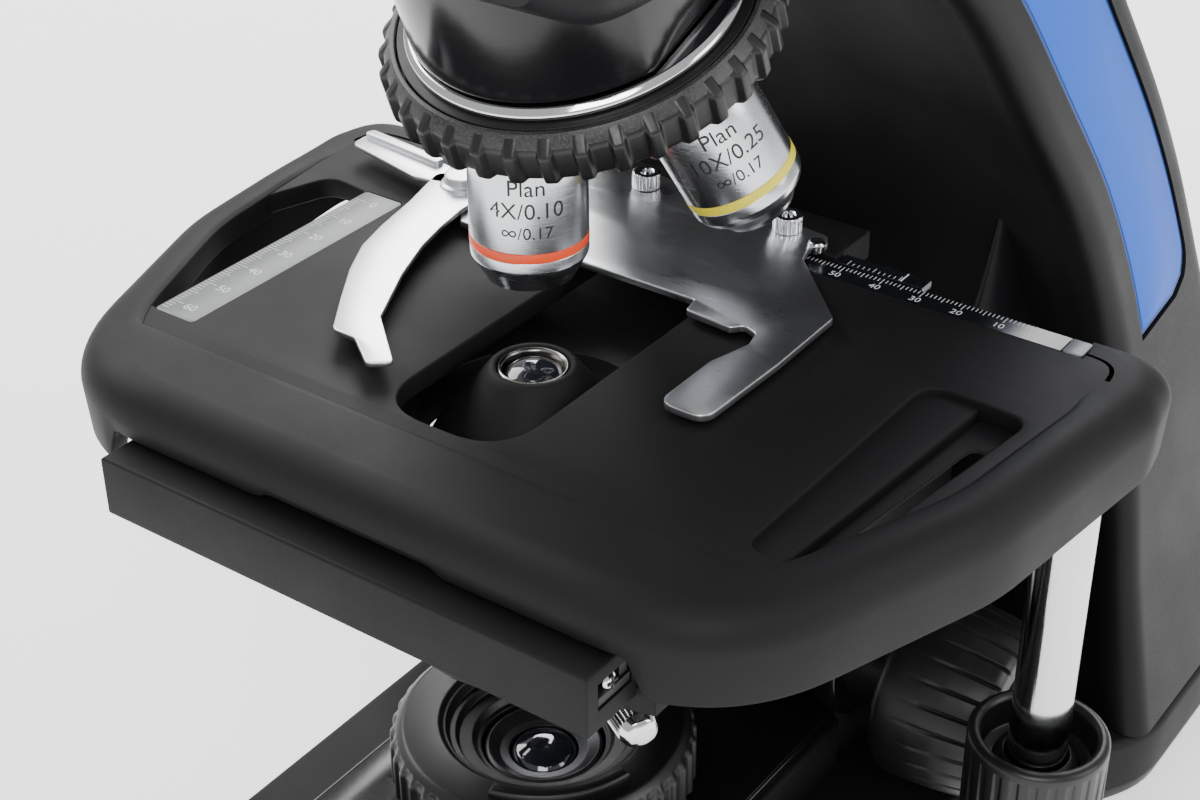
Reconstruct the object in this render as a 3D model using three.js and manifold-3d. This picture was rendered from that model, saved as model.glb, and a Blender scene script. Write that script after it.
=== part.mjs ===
// An upright compound microscope: base with lamp and field ring, C-shaped arm,
// focusing mechanical stage, condenser, tilted quadruple nosepiece and binocular head.
// Millimetres, +Z up, feet on z = 0. Everything inside `model` is placed from the
// optical axis, which is the line x = 0, y = 0 of that group.
import * as THREE from 'three';
import { mergeVertices } from 'three/addons/utils/BufferGeometryUtils.js';
import Module from 'manifold-3d';

const wasm = await Module();
wasm.setup();

// ---------------------------------------------------------------- driving dimensions
const GAP = 0.3; // clearance kept between neighbouring solids
const BASE_FRONT = -100; // from the optical axis
const BASE_REAR = 190;
const BASE_HALF_FRONT = 72;
const BASE_HALF_REAR = 103;
const FOOT_Z = 3;
const BASE_LOW_TOP = 22; // top of the low, wide part of the base
const DECK_TOP = 38; // top of the raised middle of the base
const DECK_HALF = 43;
const HOUSING_FRONT = 66; // front face of the focus housing
const FIELD_TOP = 63; // top of the field diaphragm ring
const STAGE_TOP = 160; // plane on which the slide lies
const STAGE_HALF = 113; // half-width of the stage skirt at its widest
const PLATE_TOP = 147; // top of the fixed lower plate
const SHOULDER_Z = 210.2; // shoulder of the objective in use, on the floor of its seat
const APEX_Z = 275.5; // where the nosepiece axis crosses the optical axis
const NOSE_TILT = THREE.MathUtils.degToRad(20.8);
const FOCUS_AXIS = { y: 74.5, z: 52 };
const DRIVE = { x: 102, y: 46 }; // axis of the coaxial stage drive
const SCREWS_X = [-23, 16]; // cap screws of the slide holder
const HEAD_Z = 306.3; // underside of the observation head
const TUBE_TILT = THREE.MathUtils.degToRad(30); // eyepiece tubes above horizontal
const EYE_HALF_SPACING = 35; // 70 mm between the eyepieces when fully spread

// ---------------------------------------------------------------- materials
function paint(color, roughness, metalness = 0) {
  return new THREE.MeshStandardMaterial({ color, roughness, metalness });
}
const BLACK_PAINT = paint(0x26272b, 0.55);
const GLOSS_BLACK = paint(0x111214, 0.18);
const MATTE_BLACK = paint(0x1b1b1e, 0.7);
const RUBBER = paint(0x18181a, 0.85);
const BLUE = paint(0x1f5fc4, 0.35);
const CHROME = paint(0xd8dadd, 0.12, 1);
const STEEL = paint(0xb4b6ba, 0.32, 1);
const DARK_METAL = paint(0x4a4c50, 0.4, 1);
const WHITE = paint(0xf2f2ee, 0.5);
const GLASS = paint(0x6f86a8, 0.05);

// ---------------------------------------------------------------- geometry helpers
/** Merge shared vertices and turn every face outwards. */
function closed(geometry) {
  const bare = geometry.clone();
  bare.deleteAttribute('normal');
  bare.deleteAttribute('uv');
  const merged = mergeVertices(bare, 1e-4);
  const p = merged.attributes.position;
  const index = merged.index.array;
  const a = new THREE.Vector3();
  const b = new THREE.Vector3();
  const c = new THREE.Vector3();
  let volume = 0;
  for (let i = 0; i < index.length; i += 3) {
    a.fromBufferAttribute(p, index[i]);
    b.fromBufferAttribute(p, index[i + 1]);
    c.fromBufferAttribute(p, index[i + 2]);
    volume += a.dot(b.cross(c));
  }
  if (volume < 0) {
    for (let i = 0; i < index.length; i += 3) {
      [index[i + 1], index[i + 2]] = [index[i + 2], index[i + 1]];
    }
  }
  return merged;
}

function toSolid(geometry) {
  const merged = closed(geometry);
  const vertProperties = new Float32Array(merged.attributes.position.array);
  const triVerts = new Uint32Array(merged.index.array);
  return new wasm.Manifold(new wasm.Mesh({ numProp: 3, vertProperties, triVerts }));
}

function fromSolid(solid) {
  const mesh = solid.getMesh();
  const geometry = new THREE.BufferGeometry();
  geometry.setAttribute('position', new THREE.BufferAttribute(mesh.vertProperties, 3));
  geometry.setIndex(new THREE.BufferAttribute(mesh.triVerts, 1));
  geometry.computeVertexNormals();
  return geometry;
}

function join(first, ...others) {
  return fromSolid(others.reduce((sum, g) => sum.add(toSolid(g)), toSolid(first)));
}

function cut(first, ...tools) {
  return fromSolid(tools.reduce((rest, g) => rest.subtract(toSolid(g)), toSolid(first)));
}

function common(first, second) {
  return fromSolid(toSolid(first).intersect(toSolid(second)));
}

/** Box given by its lowest and highest corners. */
function block([x0, y0, z0], [x1, y1, z1]) {
  const box = new THREE.BoxGeometry(x1 - x0, y1 - y0, z1 - z0);
  return box.translate((x0 + x1) / 2, (y0 + y1) / 2, (z0 + z1) / 2);
}

/** Revolve [radius, z] points about Z. The profile starts and ends on the axis or closes. */
function turned(profile) {
  const points = profile.map(([r, z]) => new THREE.Vector2(r, z));
  const widest = Math.max(...profile.map(([r]) => r));
  const sides = 2 * Math.round(5 + 0.28 * widest);
  return closed(new THREE.LatheGeometry(points, sides).rotateX(Math.PI / 2));
}

/** Solid cylinder about Z between two heights. */
function rod(r, z0, z1) {
  return turned([[0, z0], [r, z0], [r, z1], [0, z1]]);
}

/** Tube about Z with a square section. */
function tube(inner, outer, z0, z1) {
  return turned([[inner, z0], [outer, z0], [outer, z1], [inner, z1], [inner, z0]]);
}

/** Straight prism of a shape between two heights. */
function prism(shape, z0, z1, curveSegments = 4) {
  const depth = z1 - z0;
  const geometry = new THREE.ExtrudeGeometry(shape, { depth, bevelEnabled: false, curveSegments });
  return geometry.translate(0, 0, z0);
}

/** Closed outline through [x, y, cornerRadius] points. */
function outline(corners) {
  const shape = new THREE.Shape();
  const count = corners.length;
  corners.forEach(([x, y, radius = 0], i) => {
    const here = new THREE.Vector2(x, y);
    const before = new THREE.Vector2(...corners[(i + count - 1) % count].slice(0, 2));
    const after = new THREE.Vector2(...corners[(i + 1) % count].slice(0, 2));
    const inward = before.clone().sub(here).normalize();
    const onward = after.clone().sub(here).normalize();
    const half = Math.acos(THREE.MathUtils.clamp(inward.dot(onward), -1, 1)) / 2;
    const reach = radius / Math.tan(half);
    const start = here.clone().addScaledVector(inward, reach);
    const end = here.clone().addScaledVector(onward, reach);
    if (i === 0) shape.moveTo(start.x, start.y);
    else shape.lineTo(start.x, start.y);
    if (radius > 0) shape.quadraticCurveTo(x, y, end.x, end.y);
  });
  shape.closePath();
  return shape;
}

/** Left-right symmetric outline from its right-hand corners, front first. */
function mirrored(right) {
  const left = right.map(([x, y, radius]) => [-x, y, radius]).reverse();
  return outline([...right, ...left]);
}

/** Round outline with shallow flutes, for knobs and grips. */
function fluted(radius, depth, count) {
  const shape = new THREE.Shape();
  const steps = count * 2;
  for (let i = 0; i < steps; i += 1) {
    const angle = (2 * Math.PI * i) / steps;
    const r = radius - depth * (i % 2);
    const point = [r * Math.cos(angle), r * Math.sin(angle)];
    if (i === 0) shape.moveTo(...point);
    else shape.lineTo(...point);
  }
  shape.closePath();
  return shape;
}

/** Skin through a row of equal point rings, closed by flat ends. */
function loft(rings) {
  const size = rings[0].length;
  const positions = rings.flat().flatMap((p) => [p.x, p.y, p.z]);
  const index = [];
  for (let i = 0; i + 1 < rings.length; i += 1) {
    for (let j = 0; j < size; j += 1) {
      const a = i * size + j;
      const b = i * size + ((j + 1) % size);
      index.push(a, b, b + size, a, b + size, a + size);
    }
  }
  const capAt = (ring, offset, flip) => {
    const origin = ring[0];
    const e1 = ring[Math.floor(size / 2)].clone().sub(origin).normalize();
    const normal = new THREE.Vector3();
    for (let j = 0; j < size; j += 1) {
      normal.add(ring[j].clone().sub(origin).cross(ring[(j + 1) % size].clone().sub(origin)));
    }
    const e2 = normal.normalize().cross(e1);
    const flat = ring.map((p) => p.clone().sub(origin)).map((p) => new THREE.Vector2(p.dot(e1), p.dot(e2)));
    THREE.ShapeUtils.triangulateShape(flat, []).forEach(([a, b, c]) => {
      if (flip) index.push(offset + a, offset + c, offset + b);
      else index.push(offset + a, offset + b, offset + c);
    });
  };
  capAt(rings[0], 0, true);
  capAt(rings[rings.length - 1], (rings.length - 1) * size, false);
  const geometry = new THREE.BufferGeometry();
  geometry.setAttribute('position', new THREE.Float32BufferAttribute(positions, 3));
  geometry.setIndex(index);
  return closed(geometry);
}

/** Point of an outline shape, evenly sampled, lifted to height z. */
function ringAt(shape, z, count) {
  return shape.getSpacedPoints(count).slice(0, count).map((p) => new THREE.Vector3(p.x, p.y, z));
}

/** Turn a Z-axis solid to point along +X. */
const alongX = (geometry) => geometry.rotateY(Math.PI / 2);

// ---------------------------------------------------------------- scene graph
const microscope = new THREE.Group();
const model = new THREE.Group();
model.position.y = -(BASE_FRONT + BASE_REAR) / 2;
microscope.add(model);

function add(name, geometry, material, parent = model) {
  const mesh = new THREE.Mesh(geometry, material);
  mesh.name = name;
  parent.add(mesh);
  return mesh;
}

// ---------------------------------------------------------------- base
function baseOutline(inset) {
  return mirrored([
    [BASE_HALF_FRONT - inset, BASE_FRONT + inset, 28],
    [BASE_HALF_FRONT - inset, 70, 30],
    [BASE_HALF_REAR - inset, 124, 30],
    [BASE_HALF_REAR - inset, BASE_REAR - inset, 12],
  ]);
}

function deckOutline(inset) {
  return mirrored([
    [DECK_HALF - inset, -88 + inset, 18],
    [DECK_HALF - inset, HOUSING_FRONT - GAP - inset, 2],
  ]);
}

function addBase() {
  const wall = 3.5;
  const rings = [
    ringAt(baseOutline(0), 6.3, 56),
    ringAt(baseOutline(0), BASE_LOW_TOP - 4, 56),
    ringAt(baseOutline(1.2), BASE_LOW_TOP - 1.2, 56),
    ringAt(baseOutline(4), BASE_LOW_TOP, 56),
  ];
  const outside = join(loft(rings), prism(deckOutline(0), 15, DECK_TOP));
  const hollow = join(
    prism(baseOutline(wall), 5, BASE_LOW_TOP - wall),
    prism(deckOutline(wall), 15, DECK_TOP - wall),
  );
  const rear = BASE_REAR;
  const housing = cut(
    outside,
    hollow,
    rod(13, 30, 45),
    block([-14.3, rear - 10, 7.7], [14.3, rear + 5, 17.3]),
    block([34.7, rear - 10, 7.7], [57.3, rear + 5, 17.3]),
    alongX(rod(4.3, BASE_HALF_FRONT - 10, BASE_HALF_FRONT + 5)).translate(0, -40, 13),
  );
  add('base_housing', housing, BLACK_PAINT);

  const cover = cut(prism(deckOutline(1), DECK_TOP + GAP, DECK_TOP + 3.5), rod(28.6, 30, 45));
  add('base_top_cover', cover, GLOSS_BLACK);

  add('bottom_plate', prism(baseOutline(1), FOOT_Z, 6), DARK_METAL);
  const feet = {
    foot_front_left: [-50, -78],
    foot_front_right: [50, -78],
    foot_rear_left: [-80, 165],
    foot_rear_right: [80, 165],
  };
  Object.entries(feet).forEach(([name, [x, y]]) => {
    const profile = [[0, 0], [9.5, 0], [11, 1], [11, FOOT_Z - GAP], [0, FOOT_Z - GAP]];
    add(name, turned(profile), RUBBER).position.set(x, y, 0);
  });

  const inlet = cut(
    block([-14, rear - 12, 8], [14, rear + 0, 17]),
    block([-10, rear - 8, 10], [10, rear + 5, 15]),
  );
  add('power_inlet', inlet, MATTE_BLACK);
  add('power_switch', block([35.3, rear - 9, 8.3], [56.7, rear - 1, 16.7]), MATTE_BLACK);

  const dial = join(prism(fluted(11, 0.6, 12), 1, 10), rod(4, -6, 1.5));
  add('brightness_knob', alongX(dial), MATTE_BLACK).position.set(BASE_HALF_FRONT, -40, 13);
}

// ---------------------------------------------------------------- illuminator
function addIlluminator() {
  const lamp = [[0, 6.3], [13, 6.3], [13, 8.5], [9, 8.5], [9, 24], [3, 24], [2.2, 26], [0, 26.8]];
  add('led_lamp', turned(lamp), WHITE);
  const tower = [
    [10, DECK_TOP + GAP], [28, DECK_TOP + GAP], [28, 46], [14, 46], [14, 55],
    [8, 55], [8, 49], [10, 49], [10, DECK_TOP + GAP],
  ];
  add('field_tower', turned(tower), MATTE_BLACK);
  const lens = [[0, 50], [7.7, 50], [7.7, 53], [5, 54.4], [0, 55]];
  add('field_lens', turned(lens), GLASS);

  const body = cut(
    prism(fluted(35.8, 1.1, 26), 46.3, FIELD_TOP),
    turned([[0, 40], [14.5, 40], [14.5, 57], [22.5, FIELD_TOP + 0.01], [22.5, 70], [0, 70]]),
  );
  const envelope = turned([
    [0, 46], [34.5, 46], [36.5, 48], [36.5, 60], [32.8, FIELD_TOP], [0, FIELD_TOP],
  ]);
  const ridge = (start) => {
    const shape = new THREE.Shape();
    shape.absarc(0, 0, 29.4, start, start + 1.15, false);
    shape.absarc(0, 0, 26.2, start + 1.15, start, true);
    shape.closePath();
    return prism(shape, FIELD_TOP - 1, FIELD_TOP + 2, 5);
  };
  const ring = join(common(body, envelope), ridge(-1.35), ridge(-1.35 + Math.PI));
  add('field_diaphragm_ring', ring, RUBBER);
}

// ---------------------------------------------------------------- arm
// Stations up the arm: front [y, z] and rear [y, z] of the section, its half-width and
// the depth of the concave channel in its front.
const ARM_STATIONS = [
  { front: [118, BASE_LOW_TOP + GAP], rear: [187, BASE_LOW_TOP + GAP], half: 102, channel: 28 },
  { front: [126, 60], rear: [190, 60], half: 91, channel: 30 },
  { front: [131, 92], rear: [188, 98], half: 84, channel: 28 },
  { front: [131, 124], rear: [179, 134], half: 77, channel: 22 },
  { front: [118, 160], rear: [164, 171], half: 71, channel: 16 },
  { front: [100, 190], rear: [143, 207], half: 65, channel: 12 },
  { front: [80, 222], rear: [117, 248], half: 57, channel: 9 },
  { front: [62, 240], rear: [84, 284], half: 50, channel: 6 },
  { front: [38, 248], rear: [44, 303], half: 44, channel: 3 },
  { front: [0, 249], rear: [0, 306], half: 40, channel: 0 },
  { front: [-26, 249], rear: [-26, 305], half: 38, channel: 0 },
  { front: [-36, 254], rear: [-36, 300], half: 31, channel: 0 },
];
const ARM_CURVES = {
  front: new THREE.CatmullRomCurve3(ARM_STATIONS.map((s) => new THREE.Vector3(0, ...s.front))),
  rear: new THREE.CatmullRomCurve3(ARM_STATIONS.map((s) => new THREE.Vector3(0, ...s.rear))),
  sizes: new THREE.CatmullRomCurve3(
    ARM_STATIONS.map((s) => new THREE.Vector3(s.half, s.channel, 0)),
  ),
};

/** Section frame at t from 0 (base) to 1 (nose): across is X, depth runs front to rear. */
function armFrame(t) {
  const front = ARM_CURVES.front.getPoint(t);
  const rear = ARM_CURVES.rear.getPoint(t);
  const { x: half, y: channel } = ARM_CURVES.sizes.getPoint(t);
  return { front, rear, half, channel: Math.max(channel, 0) };
}

/** Point of a section: x across, depth from 0 at the front to 1 at the rear. */
function armPoint(frame, x, depth) {
  const point = frame.front.clone().lerp(frame.rear, depth);
  point.x = x;
  return point;
}

function armRing(t, inset = 0) {
  const frame = armFrame(t);
  const length = frame.front.distanceTo(frame.rear);
  const half = frame.half - inset;
  const corner = Math.min(5, half * 0.3) / length;
  const low = inset / length;
  const points = [];
  const rearTurn = 2;
  for (let i = 0; i <= rearTurn; i += 1) {
    const angle = (Math.PI / 2) * (i / rearTurn);
    const x = half - corner * length * (1 - Math.sin(angle));
    const depth = 1 - low - corner * 1.4 * (1 - Math.cos(angle));
    points.push([x, depth]);
  }
  points.reverse();
  const right = [[half * 0.52, 1 - low], ...points.slice().reverse()];
  const lip = 4.5 / length;
  const shoulder = [[half, lip + low], [half - 1.6, lip * 0.25 + low], [half - 4.5, low]];
  const floor = frame.channel / length + low;
  const inner = [];
  const steps = 4;
  for (let i = 1; i <= steps; i += 1) {
    const u = i / steps;
    const x = (half - 4.5) * (1 - u) + half * 0.12 * u;
    inner.push([x, low + (floor - low) * Math.sin((Math.PI / 2) * u)]);
  }
  const side = [...right, ...shoulder, ...inner];
  const ring = side.map(([x, depth]) => armPoint(frame, x, depth));
  const other = side.map(([x, depth]) => armPoint(frame, -x, depth)).reverse();
  return [...ring, ...other];
}

const ARM_STEPS = 18;
const PANEL_RANGE = [0.262, 0.70];

/** Skin of a side panel: follows the arm's side between two depths, from x offset a to b. */
function panelSolid(side, from, to, a, b, grow = 0) {
  const steps = 16;
  const rings = [];
  for (let i = 0; i <= steps; i += 1) {
    const t = from + ((to - from) * i) / steps;
    const frame = armFrame(t);
    const length = frame.front.distanceTo(frame.rear);
    const near = 0.24 - grow / length;
    const far = 0.80 + grow / length;
    rings.push([
      armPoint(frame, side * (frame.half + a), near),
      armPoint(frame, side * (frame.half + b), near),
      armPoint(frame, side * (frame.half + b), far),
      armPoint(frame, side * (frame.half + a), far),
    ]);
  }
  return loft(rings);
}

function addArm() {
  const rings = [];
  for (let i = 0; i <= ARM_STEPS; i += 1) rings.push(armRing(i / ARM_STEPS));
  const recesses = [1, -1].map((side) => {
    const slack = 0.0022;
    return panelSolid(side, PANEL_RANGE[0] - slack, PANEL_RANGE[1] + slack, -1.8, 4, GAP);
  });
  const seat = rod(20.3, 302, 320);
  add('arm_casting', cut(loft(rings), ...recesses, seat), BLACK_PAINT);
  add('arm_panel_right', panelSolid(1, ...PANEL_RANGE, -1.5, -0.3), BLUE);
  add('arm_panel_left', panelSolid(-1, ...PANEL_RANGE, -1.5, -0.3), BLUE);
}

// ---------------------------------------------------------------- focus mechanism
function addFocus() {
  const { y, z } = FOCUS_AXIS;
  const section = (half, front, height) => {
    const corners = [[half, front, 9], [half, 134, 1]];
    return ringAt(mirrored(corners), height, 28);
  };
  const housing = loft([
    section(42, HOUSING_FRONT, BASE_LOW_TOP + GAP),
    section(42, HOUSING_FRONT, 92),
    section(40, HOUSING_FRONT + 3, 97),
  ]);
  const lowBack = block([-60, 100, 10], [60, 200, 200]);
  const bore = alongX(rod(5.3, -60, 60)).translate(0, y, z);
  add('focus_housing', cut(housing, lowBack, bore), BLACK_PAINT);

  add('focus_shaft', alongX(rod(5, -72, 72)), STEEL).position.set(0, y, z);
  const coarse = cut(
    join(
      turned([[0, 12.3 + 30], [11, 42.3], [11, 57], [23.5, 57], [23.8, 60], [21, 85], [0, 85]]),
      rod(5, 60, 62),
    ),
    rod(5.3, 40, 72.3),
    rod(14, 77, 90),
  );
  const fine = turned([[0, 77.3], [12, 77.3], [13, 79], [12.6, 85.6], [11.5, 86.4], [0, 86.4]]);
  [['right', 1], ['left', -1]].forEach(([name, side]) => {
    const turn = side > 0 ? (g) => g.clone().rotateY(Math.PI / 2) : (g) => g.clone().rotateY(-Math.PI / 2);
    add(`coarse_knob_${name}`, turn(coarse), RUBBER).position.set(0, y, z);
    add(`fine_knob_${name}`, turn(fine), RUBBER).position.set(0, y, z);
  });
}

// ---------------------------------------------------------------- stage
function stageOutline(inset) {
  return mirrored([
    [84 - inset * 0.9, -60 + inset, 40],
    [STAGE_HALF - 6 - inset, 5, 60],
    [STAGE_HALF - inset, 60, 16],
    [STAGE_HALF - 3 - inset, 78 - inset, 10],
  ]);
}

function addStage() {
  const floor = 140;
  const count = 64;
  const shell = loft([
    ringAt(stageOutline(0.6), floor, count),
    ringAt(stageOutline(0), STAGE_TOP - 8, count),
    ringAt(stageOutline(2.9), STAGE_TOP - 1.4, count),
    ringAt(stageOutline(8), STAGE_TOP + 0.8, count),
  ]);
  const hollow = prism(stageOutline(4.5), floor - 5, STAGE_TOP - 5, 8);
  const inner = mirrored([[89, -37.5, 8], [103.5, 25, 30], [104, 95, 1]]);
  const opening = outline([[-15.3, -32.5, 13], [17, -32.5, 13], [17, 47, 3], [-15.3, 47, 3]]);
  const window = outline([[-86, -31, 3], [-79.6, -30, 1], [-79.6, 38.5, 2], [-92, 40, 6], [-101, 14, 40]]);
  const pocket = outline([[71.8, -31, 3], [86, -31.5, 4], [95.5, 36.5, 5], [71.8, 38, 5]]);
  const slot = outline([[84.5, -24, 1.5], [88.5, -24, 1.5], [93.5, 30, 2], [85.5, 30, 2]]);
  const top = cut(
    shell,
    hollow,
    prism(inner, STAGE_TOP, STAGE_TOP + 5),
    prism(opening, STAGE_TOP - 10, STAGE_TOP + 5),
    prism(window, STAGE_TOP - 10, STAGE_TOP + 5),
    prism(pocket, STAGE_TOP - 3, STAGE_TOP + 5),
    prism(slot, STAGE_TOP - 10, STAGE_TOP + 5),
    rod(7.8, STAGE_TOP - 30, STAGE_TOP - 4.9).translate(DRIVE.x, DRIVE.y, 0),
    block([-66, -70, 100], [66, -45, STAGE_TOP - 11]),
    block([-92, 71.3, 100], [92, 100, 200]),
    block([-92, 50, 100], [92, 100, STAGE_TOP - 5]),
    prism(outline([[-80, -31, 1], [-68, -31, 1], [-68, 39, 1], [-80, 39, 1]]), STAGE_TOP - 0.8, 170),
    block([-42, 64.6, STAGE_TOP - 0.8], [93.3, 80, 170]),
  );
  add('stage_top_plate', top, BLACK_PAINT);
  const strip = outline([[-79.7, -30.7, 1], [-68.3, -30.7, 1], [-68.3, 38.7, 1], [-79.7, 38.7, 1]]);
  add('y_scale', prism(strip, STAGE_TOP - 0.5, STAGE_TOP), STEEL);
  add('x_scale', block([-41.7, 64.9, STAGE_TOP - 0.5], [93, 71.3, STAGE_TOP]), GLOSS_BLACK);

  const lensOpening = rod(25, 120, 160);
  const lowerShape = mirrored([[61.5, -45, 2], [61.5, 48, 4], [34, 62, 4]]);
  const lower = cut(prism(lowerShape, 137, PLATE_TOP), lensOpening);
  add('stage_lower_plate', lower, MATTE_BLACK);
  const railSlot = block([57, -62, 138], [62, -53, 143]);
  const bar = cut(block([-61.5, -65.5, 132.8], [61.5, -45.3, PLATE_TOP]), railSlot);
  add('front_guide_bar', bar, BLACK_PAINT);
  const rail = join(
    block([57.3, -61.7, 138.3], [60.5, -53.3, 140.4]),
    alongX(rod(2.2, 57.3, 61.3)).translate(0, -57.5, 140.6),
  );
  add('guide_rail', rail, STEEL);
  const vernier = join(
    block([-88.5, -3, 148], [-82, 7, 150]),
    block([-87.5, -2, 149], [-83, 6, 153.5]),
    block([-88.5, 0, 137.3], [-61.8, 4, 139.3]),
    block([-88.5, 0, 138], [-86, 4, 149]),
  );
  add('y_vernier', vernier, STEEL);

  const column = join(
    block([-26, 54.5, 73], [26, HOUSING_FRONT - GAP, 136.7]),
    block([-33, 40, 130], [33, 62, 136.7]),
    block([-8, 46, 88], [8, 55, 131]),
  );
  add('stage_carriage', cut(column, lensOpening), DARK_METAL);
}

function addSlideHolder() {
  const z = STAGE_TOP + 0.9;
  const carriage = join(
    block([-46, 71.8, 149], [30, 88, 156]),
    block([-46, 72.3, 155], [30, 88, z]),
  );
  add('holder_carriage', carriage, BLACK_PAINT);
  const plate = outline([
    [-61, 55], [-48, 35.3], [16.8, 35.3, 1], [17.6, 30.6, 1], [29.4, 29.6], [31.5, 32, 1.5], [35.2, 30.6, 2],
    [36.4, 26, 1], [33.6, 15.6, 2], [33.6, -3.4, 4], [45, -3.4, 4], [45.7, 22.5, 4], [45.2, 45.4, 3],
    [26, 64.8, 2], [24.6, 70], [27.4, 73.2, 2.5], [25, 77.2, 2.5], [-29, 81.8, 6], [-50, 76], [-66, 62],
  ]);
  const holes = SCREWS_X.map((x) => rod(2, z - 1, z + 6).translate(x, 74.5, 0));
  add('holder_plate', cut(prism(plate, z + GAP, z + 2), ...holes), STEEL);
  [['cap_screw_left', SCREWS_X[0]], ['cap_screw_right', SCREWS_X[1]]].forEach(([name, x]) => {
    const screw = cut(
      turned([[0, z + GAP], [1.7, z + GAP], [1.7, z + 2.3], [3.4, z + 2.3], [3.4, z + 6], [0, z + 6]]),
      prism(hexagon(1.4), z + 4, z + 8),
    );
    add(name, screw, CHROME).position.set(x, 74.5, 0);
  });
  const finger = outline([
    [-50, 53, 3], [-66.5, 50, 3], [-62, 34, 20], [-59.3, 21], [-56.4, 11, 15], [-51.2, 1], [-44, -10],
    [-36.6, -20.8, 3], [-30.4, -20.9, 1.5], [-21.5, -27.4, 1.5], [-17, -24, 1.5], [-31.8, -11, 1.5],
    [-40.3, 6, 15], [-45.2, 18.7], [-47.6, 28, 15], [-49.2, 37],
  ]);
  const lever = outline([
    [-58, 46.5, 1], [-62, 53.5, 4], [-94.2, 57.4, 2.6], [-94.2, 50.4, 2.6], [-69.4, 44.6, 4],
  ]);
  const pivot = turned([
    [0, z + 2.3], [5, z + 2.3], [5, z + 4], [4.2, z + 4.6], [4.2, z + 6.4], [0, z + 6.4],
  ]).translate(-57, 48, 0);
  const moving = join(
    prism(finger, z + 2.3, z + 3.5),
    prism(lever, z + 2.3, z + 3.5),
    pivot,
  );
  add('holder_finger', moving, STEEL);
}

function hexagon(apothem) {
  const corner = apothem / Math.cos(Math.PI / 6);
  const shape = new THREE.Shape();
  for (let i = 0; i < 6; i += 1) {
    const angle = (Math.PI / 3) * i;
    const point = [corner * Math.cos(angle), corner * Math.sin(angle)];
    if (i === 0) shape.moveTo(...point);
    else shape.lineTo(...point);
  }
  shape.closePath();
  return shape;
}

function addStageDrive() {
  const { x, y } = DRIVE;
  const place = (name, geometry, material) => {
    add(name, geometry, material).position.set(x, y, 0);
  };
  const sleeve = [
    [0, 24], [2.6, 24], [2.6, 44], [4.4, 44], [4.4, 69], [6.6, 69], [6.6, 152], [7.2, 152],
    [7.2, 154.7], [0, 154.7],
  ];
  place('drive_sleeve', turned(sleeve), CHROME);
  const upper = cut(
    prism(fluted(15, 0.9, 14), 49, 77),
    rod(4.7, 40, 80),
    turned([[0, 67], [12.5, 67], [12.5, 80], [0, 80]]),
  );
  place('y_knob', upper, RUBBER);
  const lower = cut(prism(fluted(13, 0.9, 13), 27, 48.7), rod(2.9, 26, 43.5), rod(4.7, 43, 60));
  place('x_knob', lower, RUBBER);
}

// ---------------------------------------------------------------- condenser
function addCondenser() {
  const ring = join(
    tube(19, 31, 95, 105),
    block([-9, 28, 95], [9, 45.7, 105]),
  );
  const azimuth = THREE.MathUtils.degToRad(-30);
  const boss = alongX(rod(6, 26, 38)).rotateZ(azimuth).translate(0, 0, 100);
  const hole = alongX(rod(2.6, 15, 60)).rotateZ(azimuth).translate(0, 0, 100);
  const pinionHole = alongX(rod(3.3, -30, 30)).translate(0, 38, 100);
  const mount = cut(join(ring, boss), rod(19, 90, 110), hole, pinionHole);
  add('condenser_mount', mount, MATTE_BLACK);

  const screw = turned([
    [0, 19.6], [2.3, 19.6], [2.3, 40], [4.2, 40], [4.4, 41], [4.4, 53], [3.6, 54.2], [0, 54.6],
  ]);
  add('condenser_clamp_screw', alongX(screw).rotateZ(azimuth), CHROME).position.z = 100;

  const body = turned([
    [7.8, 92], [18.7, 92], [18.7, 117], [23, 117], [23, 140], [21, 142], [9.6, 158], [7.8, 158],
    [7.8, 131], [18, 131], [18, 120], [7.8, 120], [7.8, 92],
  ]);
  const leverSlot = block([-15, -30, 123.6], [15, -6, 127.4]);
  add('condenser_body', cut(body, leverSlot), MATTE_BLACK);
  const lens = [[0, 150], [7.5, 150], [7.5, 156], [6.4, 157.2], [3.6, 158.3], [0, 158.7]];
  add('condenser_lens', turned(lens), GLASS);
  const lever = join(
    tube(9, 17, 124, 127),
    block([-1.6, -33, 124], [1.6, -12, 127]),
    rod(2.6, 122.5, 128.5).translate(0, -34, 0),
  );
  add('iris_lever', lever, STEEL);

  const shaft = join(
    rod(3, -12, 42),
    prism(fluted(12, 0.8, 12), 31, 43),
  );
  const knob = shaft.rotateY(-Math.PI / 2);
  add('condenser_knob', knob, RUBBER).position.set(0, 38, 100);
}

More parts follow.
